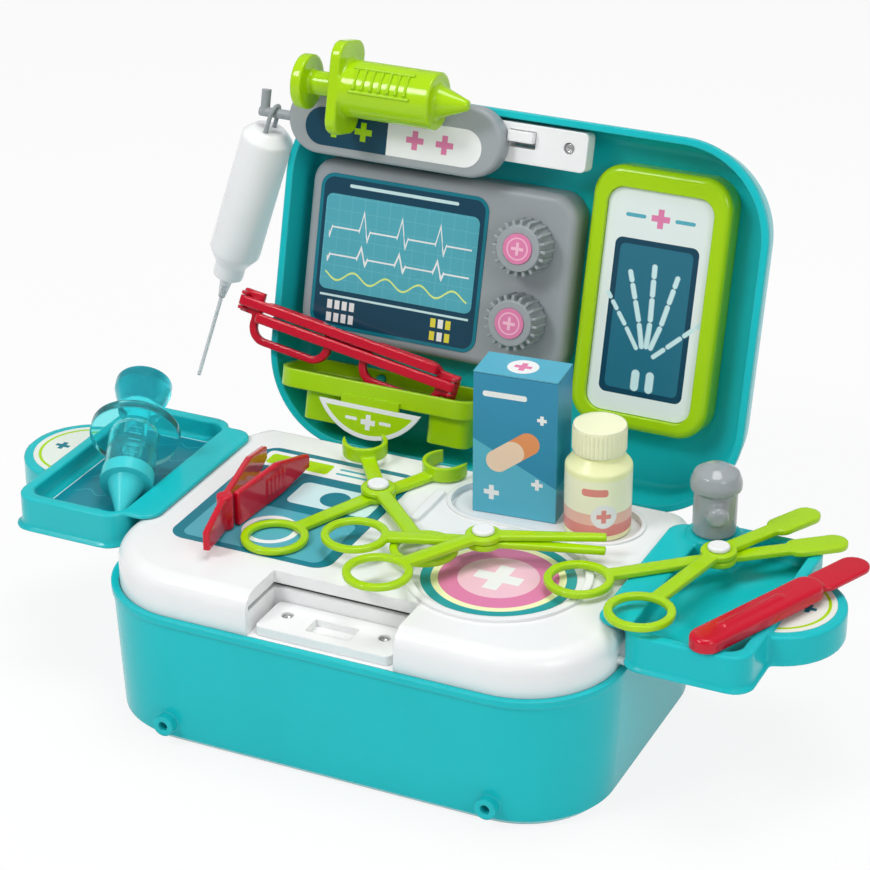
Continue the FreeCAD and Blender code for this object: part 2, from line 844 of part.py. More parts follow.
# Deck: the white play surface that drops into the tub's mouth and stands proud of the rim.
seat = size.mouth_wall + size.fit_gap
deck_half = size.deck_half
deck_front = seat - size.case_depth / 2
deck_corner = size.case_corner - seat
deck = Piece("deck")
deck.plate(*outline(seat), ledge_rise, size.deck_top - ledge_rise)
deck.block(-deck_half, deck_half, size.deck_back, -deck_front, size.ledge_top,
           size.deck_top - size.ledge_top, cut=True)
deck.fillet(size.deck_shoulder, lambda edge: at_height(size.deck_top.value)(edge)
            and edge.BoundBox.YMin < size.deck_back.value - 1)
inner = seat + size.deck_wall
plate_under = size.deck_top - size.deck_plate
deck.plate(*outline(inner)[:3], size.deck_back - size.deck_wall, deck_corner - size.deck_wall,
           ledge_rise, plate_under - ledge_rise, cut=True)
# Latch bay: a walled notch in the front edge where the latch block sits.
bay_half = size.latch_half + size.notch_gap
bay_floor = size.base_height
deck.block(size.latch_x - bay_half - size.latch_shelf_wall, size.latch_x + bay_half + size.latch_shelf_wall,
           deck_front + size.deck_wall / 2, size.latch_back + size.latch_shelf_wall, ledge_rise,
           size.deck_top - size.deck_shoulder - ledge_rise)
deck.block(size.latch_x - bay_half, size.latch_x + bay_half, deck_front - size.deck_wall,
           size.latch_back, bay_floor, size.deck_top - bay_floor, cut=True)
# Round dish with a raised ring, on the right.
ring_top = size.deck_top + size.dish_ring_height
deck.disc(size.dish_x, size.dish_y, size.dish_radius + size.dish_ring, size.deck_top, size.dish_ring_height)
dish_floor = size.deck_top - size.dish_depth
deck.disc(size.dish_x, size.dish_y, size.dish_radius, dish_floor, ring_top - dish_floor, cut=True)
# Round-ended recess with a raised edge, behind the dish.
recess_half = (size.recess_back - size.recess_front) / 2
recess_y = (size.recess_back + size.recess_front) / 2
recess_ends = [(size.recess_left + recess_half, recess_y), (size.recess_right - recess_half, recess_y)]
recess_floor = size.deck_top - size.recess_depth
recess_top = size.deck_top + size.recess_ring_height
deck.bar(*recess_ends, recess_half + size.recess_ring, size.deck_top, size.recess_ring_height)
deck.bar(*recess_ends, recess_half, recess_floor, recess_top - recess_floor, cut=True)
deck.bar((size.ridge_place, size.ridge_start), (size.ridge_place, size.ridge_end), size.ridge_half,
         size.deck_top, size.ridge_height)
for side in (-1, 1):
    for place in (size.tray_peg_front, size.tray_peg_back):
        length = size.tray_peg_length + size.tray_peg_root
        start = size.tray_peg_reach - length if side > 0 else -size.tray_peg_reach
        deck.disc(place, size.tray_peg_rise, size.tray_peg_radius, start, length, plane="YZ_Plane")
    deck.disc(size.latch_x + side * size.latch_screw_spread, size.latch_screw_y, size.screw_radius,
              ledge_rise, bay_floor - ledge_rise, cut=True)

# Latch block on the deck's front, with the slot that the lid's tongue snaps into.
block_top = bay_floor + size.latch_height
base_latch = Piece("base_latch_block")
base_latch.plate(size.latch_x - size.latch_half, size.latch_x + size.latch_half, size.latch_front,
                 size.latch_back - size.fit_gap, size.notch_gap, bay_floor, size.latch_height)
base_latch.block(size.latch_x - size.slot_half, size.latch_x + size.slot_half,
                 size.slot_place - size.slot_length / 2, size.slot_place + size.slot_length / 2,
                 block_top - size.slot_depth, size.slot_depth, cut=True)
screw_seat = block_top - size.screw_sink
for side in (-1, 1):
    place = (size.latch_x + side * size.latch_screw_spread, size.latch_screw_y)
    base_latch.disc(*place, size.screw_head_radius + size.fit_gap, screw_seat, size.screw_sink, cut=True)
    base_latch.disc(*place, size.screw_radius + size.pin_gap, bay_floor, screw_seat - bay_floor, cut=True)


def screws(label, places, *frames):
    """Pan-head screws, each standing at its place with the head's seat at that height."""
    made = []
    for x, y, z in places:
        head = doc.addObject("Part::Cylinder", "ScrewHead")
        bind(head, "Radius", size.screw_head_radius)
        bind(head, "Height", size.screw_head_height)
        shank = doc.addObject("Part::Cylinder", "ScrewShank")
        bind(shank, "Radius", size.screw_radius)
        bind(shank, "Height", size.screw_length)
        shank.setExpression("Placement", shift(0, 0, -size.screw_length))
        socket = doc.addObject("Part::Prism", "ScrewSocket")
        bind(socket, "Circumradius", size.screw_radius)
        bind(socket, "Height", size.screw_head_height)
        socket.setExpression("Placement", shift(0, 0, size.screw_head_height / 2))
        whole = doc.addObject("Part::Fuse", "ScrewBlank")
        whole.Base = head
        whole.Tool = shank
        screw = doc.addObject("Part::Cut", "Screw")
        screw.Base = whole
        screw.Tool = socket
        screw.setExpression("Placement", " * ".join([*frames, shift(x, y, z)]))
        made.append(screw)
    group(label, made)


screws("base_latch_screws", [(size.latch_x + side * size.latch_screw_spread, size.latch_screw_y, screw_seat)
                             for side in (-1, 1)])

# Stickers on the deck.
deck_label = Piece("deck_label")
deck_label.plate(size.deck_label_left, size.deck_label_right, size.deck_label_front, size.deck_label_back,
                 size.deck_label_corner, size.deck_top, size.sticker_thickness)
dish_label = Piece("dish_label")
dish_label.disc(size.dish_x, size.dish_y, size.dish_radius - size.dish_ring, dish_floor,
                size.sticker_thickness)
recess_label = Piece("recess_label")
recess_label.bar(*recess_ends, recess_half - size.recess_ring / 2, recess_floor, size.sticker_thickness)
deck_surface = size.deck_top + size.sticker_thickness
recess_surface = recess_floor + size.sticker_thickness

# Lid: a shallow pan of the tub's outline, its hollow facing the player.
lid = Piece("lid_shell", LID)
lid.plate(*outline(-size.rim_lip, 0), -size.rim_height, size.rim_height)


def lid_sections(inset, radius, depth, rise):
    """Outlines from the pan's back up to its rim, with the back edge rounded in even steps."""
    steps = SIZES["lid_round_steps"]
    sections = []
    for step in range(steps + 1):
        angle = 90 * step / steps
        away = radius * (1 - math.sin(math.radians(angle)))
        up = radius * (1 - math.cos(math.radians(angle)))
        sections.append((*outline(inset + size.lid_inset + away, 0), up - depth))
    sections.append((*outline(inset, 0), rise))
    return sections


lid.skin(lid_sections(0, size.lid_round, size.lid_depth, 0))
for side in (-1, 1):
    knuckle = size.knuckle_width - size.fit_gap * 2
    start = side * size.hinge_spread - knuckle / 2
    lid.disc(-size.hinge_offset, 0, size.lug_radius, start, knuckle, plane="YZ_Plane")
    lid.block(-size.hinge_offset, size.shell_wall / 2, -size.lug_radius, 0, start, knuckle, plane="YZ_Plane")
lid.skin(lid_sections(size.shell_wall, size.lid_round - size.shell_wall, -lid_floor, size.lug_radius),
         cut=True)
for side in (-1, 1):
    lid.disc(-size.hinge_offset, 0, size.pin_radius + size.running_gap,
             side * size.hinge_spread - size.knuckle_width / 2, size.knuckle_width, cut=True,
             plane="YZ_Plane")
    lid.disc(size.latch_x + side * size.latch_screw_spread, size.lid_screw_place, size.lid_boss_radius,
             lid_floor, -size.lid_latch_depth - lid_floor)
    lid.disc(size.latch_x + side * size.latch_screw_spread, size.lid_screw_place, size.screw_radius,
             lid_floor, -size.lid_latch_depth - lid_floor, cut=True)
for place in (size.hook_left_x, size.hook_right_x):
    lid.disc(place, size.hook_rise, size.hook_radius, lid_floor, size.hook_length)

# Latch block in the lid's top edge, with the sprung tongue in its window.
lid_latch = Piece("lid_latch_block", LID)
lid_latch.plate(size.latch_x - size.latch_half, size.latch_x + size.latch_half, size.lid_latch_low,
                size.lid_latch_high, size.notch_gap, -size.lid_latch_depth, size.lid_latch_depth)
window_low = size.tongue_place - size.tongue_height / 2 - size.tongue_travel - size.fit_gap
window_high = size.tongue_place + size.tongue_height / 2 + size.fit_gap
window_half = size.tongue_half + size.fit_gap
lid_latch.block(size.latch_x - window_half, size.latch_x + window_half, window_low, window_high,
                -size.lid_latch_depth, size.lid_latch_depth, cut=True)
for side in (-1, 1):
    place = (size.latch_x + side * size.latch_screw_spread, size.lid_screw_place)
    lid_latch.disc(*place, size.screw_head_radius + size.fit_gap, -size.screw_sink, size.screw_sink, cut=True)
    lid_latch.disc(*place, size.screw_radius + size.pin_gap, -size.lid_latch_depth,
                   size.lid_latch_depth - size.screw_sink, cut=True)
screws("lid_latch_screws", [(size.latch_x + side * size.latch_screw_spread, size.lid_screw_place,
                             -size.screw_sink) for side in (-1, 1)], LID)
tongue = Piece("latch_tongue", LID)
plate_front = -size.lid_latch_depth - size.fit_gap
tongue.block(size.latch_x - size.tongue_half - size.tongue_plate_margin,
             size.latch_x + size.tongue_half + size.tongue_plate_margin,
             size.tongue_place - size.tongue_height / 2 - size.tongue_plate_margin,
             size.tongue_place + size.tongue_height / 2 + size.tongue_plate_margin,
             plate_front - size.tongue_plate, size.tongue_plate)
tongue.block(size.latch_x - size.tongue_half, size.latch_x + size.tongue_half,
             size.tongue_place - size.tongue_height / 2, size.tongue_place + size.tongue_height / 2,
             plate_front, size.tongue_reach - plate_front)

# Monitor: a shallow housing on the lid's floor with two turning knobs and a printed screen.
monitor = Piece("monitor_housing", LID)
screen = (size.monitor_left, size.monitor_right, size.monitor_low, size.monitor_high)
monitor.plate(*screen, size.monitor_corner, lid_floor, size.monitor_face - lid_floor)
monitor.fillet(size.monitor_edge, at_height(size.monitor_face.value))
wall = size.monitor_wall
monitor.plate(screen[0] + wall, screen[1] - wall, screen[2] + wall, screen[3] - wall,
              size.monitor_corner - wall, lid_floor, size.monitor_face - wall - lid_floor, cut=True)
for rise in (size.knob_upper, size.knob_lower):
    monitor.disc(size.knob_x, rise, size.knob_stem_radius + size.running_gap, size.monitor_face - wall,
                 wall, cut=True)
monitor_label = Piece("monitor_label", LID)
monitor_label.plate(size.screen_left, size.screen_right, size.screen_low, size.screen_high,
                    size.screen_corner, size.monitor_face, size.sticker_thickness)

# Knobs: ribbed, tapering, each held by a snap flange behind the housing's face.
for name, rise in (("knob_upper", size.knob_upper), ("knob_lower", size.knob_lower)):
    foot = size.fit_gap
    behind = -wall - size.fit_gap
    knob = Piece(name, LID, shift(size.knob_x, rise, size.monitor_face))
    knob.turned([(0, behind - size.knob_snap_height), (size.knob_snap_radius, behind - size.knob_snap_height),
                 (size.knob_snap_radius, behind), (size.knob_stem_radius, behind),
                 (size.knob_stem_radius, foot), (size.knob_base_radius, foot),
                 (size.knob_front_radius, foot + size.knob_height), (0, foot + size.knob_height)])
    rib_root = size.knob_front_radius - size.knob_rib_width
    rib_sketch = knob.sketch("XY_Plane", foot)
    polygon(rib_sketch, [(rib_root, -size.knob_rib_width / 2),
                         (size.knob_base_radius + size.knob_rib_proud, -size.knob_rib_width / 2),
                         (size.knob_base_radius + size.knob_rib_proud, size.knob_rib_width / 2),
                         (rib_root, size.knob_rib_width / 2)])
    rib = knob.raise_or_cut(rib_sketch, size.knob_height - size.knob_rib_proud, False)
    knob.polar(rib, rib_sketch, size.knob_rib_count)
    knob.disc(0, 0, size.knob_cap_radius + size.pin_gap, foot + size.knob_height - size.knob_cap_sink,
              size.knob_cap_sink, cut=True)
    cap = Piece(name + "_cap", LID, shift(size.knob_x, rise, size.monitor_face))
    cap.disc(0, 0, size.knob_cap_radius, foot + size.knob_height - size.knob_cap_sink, size.knob_cap_height)

# Picture panel on the lid's right, framing a printed card.
panel = Piece("xray_frame", LID)
panel.plate(size.panel_left, size.panel_right, size.panel_low, size.panel_high, size.panel_corner,
            lid_floor, size.panel_face - lid_floor)
panel.fillet(size.panel_edge, at_height(size.panel_face.value))
card_floor = size.panel_face - size.card_sink
panel.plate(size.card_left, size.card_right, size.card_low, size.card_high, size.card_corner,
            card_floor, size.card_sink, cut=True)
under = card_floor - wall
panel.plate(size.panel_left + wall, size.panel_right - wall, size.panel_low + wall, size.panel_high - wall,
            size.panel_corner - wall, lid_floor, under - lid_floor, cut=True)
card = Piece("xray_card", LID)
card.plate(size.card_left + size.fit_gap, size.card_right - size.fit_gap, size.card_low + size.fit_gap,
           size.card_high - size.fit_gap, size.card_corner - size.fit_gap, card_floor, size.card_thickness)

# Shelf: a lime tray hooked on two pegs in the lid, with a cup under each end.
shelf = Piece("shelf", LID)
shelf_back = lid_floor + size.fit_gap
shelf_wall = size.shelf_wall


def shelf_plate(inset, low, high, cut):
    """The tray's outline in plan, drawn on the plane across the lid, between two heights up the lid."""
    return shelf.plate(size.shelf_left + inset, size.shelf_right - inset, shelf_back + inset,
                       size.shelf_front - inset, size.shelf_corner - inset, -high, high - low, cut,
                       plane="XZ_Plane")


shelf_plate(0, size.shelf_low, size.shelf_high, False)
cup_back = size.cup_front - size.cup_depth
cups = [(x - size.cup_width / 2, x + size.cup_width / 2) for x in (size.cup_left_x, size.cup_right_x)]
for left, right in cups:
    shelf.plate(left, right, cup_back, size.cup_front, size.cup_corner, -size.shelf_low - shelf_wall,
                size.shelf_low + shelf_wall - size.cup_low, plane="XZ_Plane")
shelf_plate(shelf_wall, size.shelf_low + shelf_wall, size.shelf_high, True)
for left, right in cups:
    cup_floor = size.cup_low + shelf_wall
    shelf.plate(left + shelf_wall, right - shelf_wall, cup_back + shelf_wall, size.cup_front - shelf_wall,
                size.cup_corner - shelf_wall, -size.shelf_high, size.shelf_high - cup_floor, True,
                plane="XZ_Plane")
# Slots in the back wall drop over the lid's pegs.
for place in (size.hook_left_x, size.hook_right_x):
    shelf.bar((place, size.hook_rise), (place, size.shelf_low - shelf_wall), size.hook_radius + size.fit_gap,
              shelf_back, size.hook_length + size.fit_gap, True)
badge = Piece("shelf_badge", LID)
badge.disc(size.badge_x, size.badge_centre_rise, size.badge_radius, size.shelf_front, size.badge_thickness)
badge.block(size.badge_x - size.badge_radius, size.badge_x + size.badge_radius, size.badge_chord,
            size.badge_centre_rise + size.badge_radius, size.shelf_front, size.badge_thickness, cut=True)
tab_low = size.shelf_low + size.fit_gap
badge.block(size.badge_x - size.badge_radius / 2, size.badge_x + size.badge_radius / 2,
            size.badge_chord - size.badge_thickness, tab_low + size.shelf_wall, size.shelf_front,
            size.badge_thickness)

# Play spectacles leaning in the shelf: a front with two lens rings and two folded temples.
GLASSES = " * ".join([LID, shift(size.glasses_x, size.glasses_s, size.glasses_off),
                      turn((0, 0, 1), size.glasses_turn), turn((1, 0, 0), size.glasses_tilt)])
glasses = Piece("glasses_front", GLASSES)
half_thick = size.glasses_thickness / 2
front = (-half_thick, size.glasses_thickness)
bridge = size.bridge_width / 2
glasses.block(-bridge - size.lens_rim, bridge + size.lens_rim, -size.bridge_height / 2 + size.lens_rim,
              size.bridge_height / 2 + size.lens_rim, *front)
for side in (-1, 1):
    near = (bridge, bridge + size.lens_width)
    span = near if side > 0 else (-near[1], -near[0])
    glasses.plate(*span, -size.lens_height / 2, size.lens_height / 2, size.lens_corner, *front)
    end = (bridge + size.lens_width - size.lens_rim, size.glasses_half)
    end = end if side > 0 else (-end[1], -end[0])
    row = size.temple_lower if side > 0 else size.temple_upper
    glasses.block(*end, row - size.end_height / 2, row + size.end_height / 2, *front)
for side in (-1, 1):
    near = (bridge + size.lens_rim, bridge + size.lens_width - size.lens_rim)
    span = near if side > 0 else (-near[1], -near[0])
    glasses.plate(*span, size.lens_rim - size.lens_height / 2, size.lens_height / 2 - size.lens_rim,
                  size.lens_corner - size.lens_rim, *front, cut=True)
temple_low = half_thick + size.temple_gap
pivot_z = temple_low + size.temple_thickness / 2
pivot_reach = size.glasses_half - size.glasses_lug / 2
temple_rows = ((-1, "glasses_temple_left", size.temple_upper), (1, "glasses_temple_right", size.temple_lower))
lug_radius = size.temple_thickness / 2
# Hinge lugs above and below each temple's root carry an upright pin.
for side, name, row in temple_rows:
    for way in (-1, 1):
        lug_y = row + way * (size.temple_height / 2 + size.glasses_lug / 4 + size.fit_gap)
        start = -lug_y - size.glasses_lug / 4
        glasses.disc(side * pivot_reach, pivot_z, lug_radius, start, size.glasses_lug / 2, plane="XZ_Plane")
        glasses.block(side * pivot_reach - lug_radius, side * pivot_reach + lug_radius, 0, pivot_z, start,
                      size.glasses_lug / 2, plane="XZ_Plane")
    reach = size.temple_height / 2 + size.glasses_lug / 2 + size.fit_gap
    glasses.disc(side * pivot_reach, pivot_z, size.glasses_pin_radius + size.pin_gap, -row - reach, reach * 2,
                 cut=True, plane="XZ_Plane")
glasses_pins = []
for side, name, row in temple_rows:
    temple = Piece(name, GLASSES)
    low = row - size.temple_height / 2
    inward = -side * (size.temple_length - pivot_reach)
    ends = sorted([side * pivot_reach, inward], key=lambda v: as_length(v).value)
    temple.bar((ends[0], pivot_z), (ends[1], pivot_z), lug_radius, -low - size.temple_height,
               size.temple_height, plane="XZ_Plane")
    temple.disc(side * pivot_reach, pivot_z, size.glasses_pin_radius + size.running_gap,
                -low - size.temple_height, size.temple_height, cut=True, plane="XZ_Plane")
    pin = doc.addObject("Part::Cylinder", "TemplePin")
    bind(pin, "Radius", size.glasses_pin_radius)
    bind(pin, "Height", reach * 2)
    pin.setExpression("Placement", " * ".join([GLASSES, shift(side * pivot_reach, row + reach, pivot_z),
                                                turn((1, 0, 0), 90)]))
    glasses_pins.append(pin)
group("glasses_hinge_pins", glasses_pins)

# Sign bar clipped over the lid's top edge, with a cradle for the lime syringe.
sign = Piece("sign_bar", LID)
sign_back = size.fit_gap
sign_half = (size.sign_high - size.sign_low) / 2
sign_rise = (size.sign_high + size.sign_low) / 2
sign_ends = [(size.sign_left + sign_half, sign_rise), (size.sign_right - sign_half, sign_rise)]
sign.bar(*sign_ends, sign_half, sign_back, size.sign_front - sign_back)
sign.fillet(size.sign_round, at_height(size.sign_front.value))
clip = (size.sign_clip_x - size.sign_clip_half, size.sign_clip_x + size.sign_clip_half)
clip_edge = size.case_depth + size.rim_lip + size.fit_gap
inside_edge = size.case_depth - size.shell_wall - size.lid_inset
sign.block(*clip, clip_edge - size.sign_clip_wall, clip_edge + size.sign_clip_wall, sign_back,
           size.sign_clip_wall)
sign.block(*clip, clip_edge, clip_edge + size.sign_clip_wall, -size.sign_clip_depth,
           size.sign_clip_depth + sign_back)
sign.block(*clip, inside_edge - size.fit_gap - size.sign_clip_wall, inside_edge - size.fit_gap,
           -size.sign_clip_depth, size.sign_clip_depth + sign_back)
lime_off = size.sign_front + size.lime_barrel_radius + size.fit_gap
sign.block(size.cradle_x - size.cradle_half, size.cradle_x + size.cradle_half, size.cradle_low,
           size.cradle_high, size.sign_front - size.sign_round, lime_off - size.sign_front)
sign.disc(size.lime_s, lime_off, size.lime_barrel_radius + size.fit_gap, size.cradle_x - size.cradle_half,
          size.cradle_half * 2, cut=True, plane="YZ_Plane")
sign.disc(size.arm_rise, size.arm_off, size.arm_radius + size.pin_gap, size.sign_left - size.sign_round,
          size.arm_socket + size.sign_round, cut=True, plane="YZ_Plane")
sign_label = Piece("sign_label", LID)
label_half = (size.sign_label_high - size.sign_label_low) / 2
label_rise = (size.sign_label_high + size.sign_label_low) / 2
sign_label.bar((size.sign_left + size.sign_label_inset + label_half, label_rise),
               (size.sign_right - size.sign_label_inset - label_half, label_rise),
               label_half, size.sign_front, size.sticker_thickness)

# Hook arm plugged into the sign bar's left end, its finger keeping the hanging bottle on.
iv_arm = Piece("iv_arm", LID)
arm_start = size.sign_left + size.arm_socket
iv_arm.disc(size.arm_rise, size.arm_off, size.arm_radius, -size.arm_reach, arm_start + size.arm_reach,
            plane="YZ_Plane")
finger_x = -size.arm_reach + size.arm_radius
iv_arm.disc(finger_x, size.arm_off, size.arm_radius, -size.arm_rise - size.arm_finger, size.arm_finger,
            plane="XZ_Plane")

# Hanging drip bottle: a white body on a wire bail, with a nozzle and a fine tube below.
arm_y = lid_origin_y + size.arm_rise * sine(size.lid_lean) - size.arm_off * cosine(size.lid_lean)
arm_z = lid_origin_z + size.arm_rise * cosine(size.lid_lean) + size.arm_off * sine(size.lid_lean)
bail_centre = size.arm_radius + size.fit_gap - size.bail_radius + size.bail_wire
DRIP = shift(size.drip_x, arm_y, arm_z + bail_centre) + " * " + turn((0, 1, 0), size.drip_tilt)
drip_top = -size.bail_leg
drip_foot = drip_top - size.drip_length
drip = Piece("iv_bottle", DRIP)
drip.turned([(0, drip_foot - size.drip_shoulder - size.drip_collar),
             (size.drip_collar_radius, drip_foot - size.drip_shoulder - size.drip_collar),
             (size.drip_collar_radius, drip_foot - size.drip_shoulder), (size.drip_radius, drip_foot),
             (size.drip_radius, drip_top - size.drip_round), (size.drip_radius - size.drip_round, drip_top),
             (0, drip_top)])
for side in (-1, 1):
    drip.disc(0, side * size.bail_radius, size.bail_wire + size.pin_gap, drip_top - size.bail_sink,
              size.bail_sink, cut=True)
drip_end = drip_foot - size.drip_shoulder - size.drip_collar
drip.disc(0, 0, size.nozzle_radius / 2 + size.pin_gap, drip_end, size.drip_collar / 2, cut=True)
nozzle = Piece("iv_nozzle", DRIP)
nozzle_end = drip_end - size.nozzle_length
nozzle.turned([(0, nozzle_end), (size.nozzle_radius / 2, nozzle_end), (size.nozzle_radius, drip_end),
               (size.nozzle_radius / 2, drip_end), (size.nozzle_radius / 2, drip_end + size.drip_collar / 2),
               (0, drip_end + size.drip_collar / 2)])
nozzle.disc(0, 0, size.needle_radius + size.pin_gap, nozzle_end, size.nozzle_length / 2, cut=True)
needle = Piece("iv_needle", DRIP)
needle.disc(0, 0, size.needle_radius, nozzle_end - size.needle_length,
            size.needle_length + size.nozzle_length / 2)
bail = Piece("iv_loop", DRIP)
bow_sketch = bail.sketch("XY_Plane", 0)
circle(bow_sketch, 0, size.bail_radius, size.bail_wire)
bow = bail.body.newObject("PartDesign::Revolution", "Bow")
bow.Profile = bow_sketch
bow.ReferenceAxis = (bow_sketch, ["H_Axis"])
bow.Angle = 180
for side in (-1, 1):
    bail.disc(0, side * size.bail_radius, size.bail_wire, drip_top - size.bail_sink,
              size.bail_leg + size.bail_sink)

# Lime syringe lying in the sign bar's cradle.
LIME = " * ".join([LID, shift(0, size.lime_s, lime_off), turn((0, 1, 0), 90)])
lime = Piece("lime_syringe_barrel", LIME)
lime.disc(0, 0, size.lime_barrel_radius, size.lime_start, size.lime_end - size.lime_start)
lime.plate(-size.lime_flange_width / 2, size.lime_flange_width / 2, -size.lime_flange_height / 2,
           size.lime_flange_height / 2, size.lime_flange_width / 2 - size.lime_flange, size.lime_start,
           size.lime_flange)
tip_end = size.lime_end + size.lime_tip_length
lime.turned([(0, size.lime_end), (size.lime_tip_root, size.lime_end), (size.lime_tip_end, tip_end),
             (0, tip_end)])
lime.disc(0, 0, size.lime_bore, size.lime_start, size.lime_end - size.lime_wall_end - size.lime_start,
          cut=True)
lime_plunger = Piece("lime_syringe_plunger", LIME)
disc_start = size.lime_start - size.lime_out - size.lime_disc
rod_end = size.lime_start + size.lime_rod_inside
lime_plunger.turned([(0, disc_start), (size.lime_disc_radius, disc_start),
                     (size.lime_disc_radius, disc_start + size.lime_disc),
                     (size.lime_rod_radius, disc_start + size.lime_disc), (size.lime_rod_radius, rod_end),
                     (size.lime_bore - size.running_gap, rod_end),
                     (size.lime_bore - size.running_gap, rod_end + size.lime_piston),
                     (0, rod_end + size.lime_piston)])

# Side trays: each laps the deck's edge and hangs on the deck's two pegs.
for side, name in ((-1, "left_tray"), (1, "right_tray")):
    tray = Piece(name)

    def across(near, far):
        return (near, far) if side > 0 else (-far, -near)

    rim_top = size.deck_top + size.tray_lip
    rim_drop = size.tray_lip
    tray.plate(*across(size.tray_inner, size.tray_outer - size.tray_corner), size.tray_flange_front,
               size.tray_flange_back, size.tray_flange_corner, size.deck_top, rim_drop)
    basin = across(size.tray_wall_start + size.fit_gap, size.tray_outer)
    tray.plate(*basin, size.tray_front, size.tray_back, size.tray_corner, size.tray_bottom,
               rim_top - size.tray_bottom)
    skirt = across(size.tray_wall_start + size.fit_gap, size.tray_outer + size.tray_skirt)
    tray.plate(*skirt, size.tray_front - size.tray_skirt, size.tray_back + size.tray_skirt, size.tray_corner,
               size.tray_bottom, size.tray_skirt_height)
    tab_top = rim_top - size.tab_drop
    tray.disc(side * size.tab_x, size.tab_y, size.tab_radius, size.tray_bottom, tab_top - size.tray_bottom)
    lip = size.tray_lip_width
    wall = size.tray_wall
    hollow = across(size.tray_wall_start + size.fit_gap + wall, size.tray_outer - lip)
    tray.plate(*hollow, size.tray_front + lip, size.tray_back - lip, size.tray_corner - lip / 2,
               size.tray_floor, rim_top - size.tray_floor, cut=True)
    floor_under = size.tray_floor - wall
    tray.plate(basin[0] + wall, basin[1] - wall, size.tray_front + wall, size.tray_back - wall,
               size.tray_corner - wall, size.tray_bottom, floor_under - size.tray_bottom, cut=True)
    # Open notches in the inner wall let the tray drop over the deck's pegs.
    for place in (size.tray_peg_front, size.tray_peg_back):
        notch = size.tray_peg_radius + size.fit_gap
        tray.block(*across(size.tray_wall_start - wall, size.tray_peg_reach + size.fit_gap), place - notch,
                   place + notch, size.tray_bottom - wall, wall * 2, cut=True)
    if side > 0:
        # The tap stands on a round boss over a solid corner of the basin.
        tray.block(basin[0], size.tap_x + size.tap_boss_radius, size.tap_y - size.tap_boss_radius,
                   size.tray_back - wall, floor_under, rim_top - floor_under)
        tray.disc(size.tap_x, size.tap_y, size.tap_boss_radius, size.deck_top,
                  size.tray_lip + size.tap_boss_height)
        tray.disc(size.tap_x, size.tap_y, size.tap_spigot_radius + size.running_gap,
                  rim_top + size.tap_boss_height - size.tap_spigot_length - size.fit_gap,
                  size.tap_spigot_length + size.fit_gap, cut=True)
    sticker = Piece(name + "_sticker")
    sticker_radius = size.tab_radius - size.tab_sticker_margin
    sticker.disc(side * size.tab_x, size.tab_y, sticker_radius, tab_top, size.sticker_thickness)
    sticker.block(*across(0, size.tray_outer + size.fit_gap), size.tab_y - size.tab_radius,
                  size.tab_y + size.tab_radius, tab_top, size.sticker_thickness, cut=True)

# Syringe resting tip-down in the left tray: teal tip, clear barrel and teal plunger.
TEAL = " * ".join([shift(size.teal_tip_x, size.teal_tip_y, size.tray_floor + size.teal_tip_rise),
                   turn((0, 0, 1), size.teal_yaw), turn((1, 0, 0), size.teal_slope - 90)])
teal_tip = Piece("teal_syringe_tip", TEAL)
plug_end = size.teal_tip_length + size.teal_plug_length
plug_radius = size.teal_bore - size.pin_gap
teal_tip.turned([(0, 0), (size.teal_tip_radius, 0), (size.teal_tip_root, size.teal_tip_length),
                 (plug_radius, size.teal_tip_length), (plug_radius, plug_end), (0, plug_end)])
teal = Piece("teal_syringe_barrel", TEAL)
flange_end = size.teal_flange_start + size.teal_flange
teal.turned([(size.teal_bore, size.teal_barrel_start), (size.teal_barrel_radius, size.teal_barrel_start),
             (size.teal_barrel_radius, size.teal_flange_start),
             (size.teal_flange_radius, size.teal_flange_start), (size.teal_flange_radius, flange_end),
             (size.teal_bore, flange_end)])
teal_plunger = Piece("teal_syringe_plunger", TEAL)
piston_radius = size.teal_bore - size.running_gap
piston_end = size.teal_piston_start + size.teal_piston
button = flange_end + size.teal_out
teal_plunger.turned([(0, size.teal_piston_start), (piston_radius, size.teal_piston_start),
                     (piston_radius, piston_end), (size.teal_rod_radius, piston_end),
                     (size.teal_rod_radius, button - size.teal_cup),
                     (size.teal_cup_radius, button - size.teal_cup), (size.teal_disc_radius, button),
                     (size.teal_disc_radius, button + size.teal_disc), (0, button + size.teal_disc)])

# Tap on the right tray: a grey post that swivels on its spigot, with a short spout and a domed cap.
boss_top = size.deck_top + size.tray_lip + size.tap_boss_height
TAP = shift(size.tap_x, size.tap_y, boss_top + size.fit_gap) + " * " + turn((0, 0, 1), size.tap_spout_turn)
tap = Piece("faucet_post", TAP)
tap.disc(0, 0, size.tap_post_radius, 0, size.tap_post_height)
tap.disc(0, 0, size.tap_spigot_radius, -size.tap_spigot_length, size.tap_spigot_length)
spout_end = size.tap_post_radius + size.tap_spout_reach
tap.disc(0, size.tap_spout_rise, size.tap_spout_radius, 0, spout_end, plane="YZ_Plane")
tap.fillet(size.tap_spout_round, lambda edge: abs(edge.BoundBox.XMin - spout_end.value) < 1e-4)
tap.disc(spout_end - size.tap_outlet_setback, 0, size.tap_outlet, size.tap_spout_rise - size.tap_spout_radius,
         size.tap_spout_radius, cut=True)
tap.disc(0, 0, size.tap_neck / 2 + size.pin_gap, size.tap_post_height - size.tap_neck, size.tap_neck,
         cut=True)
tap_cap = Piece("faucet_cap", TAP)
cap_seat = size.tap_post_height
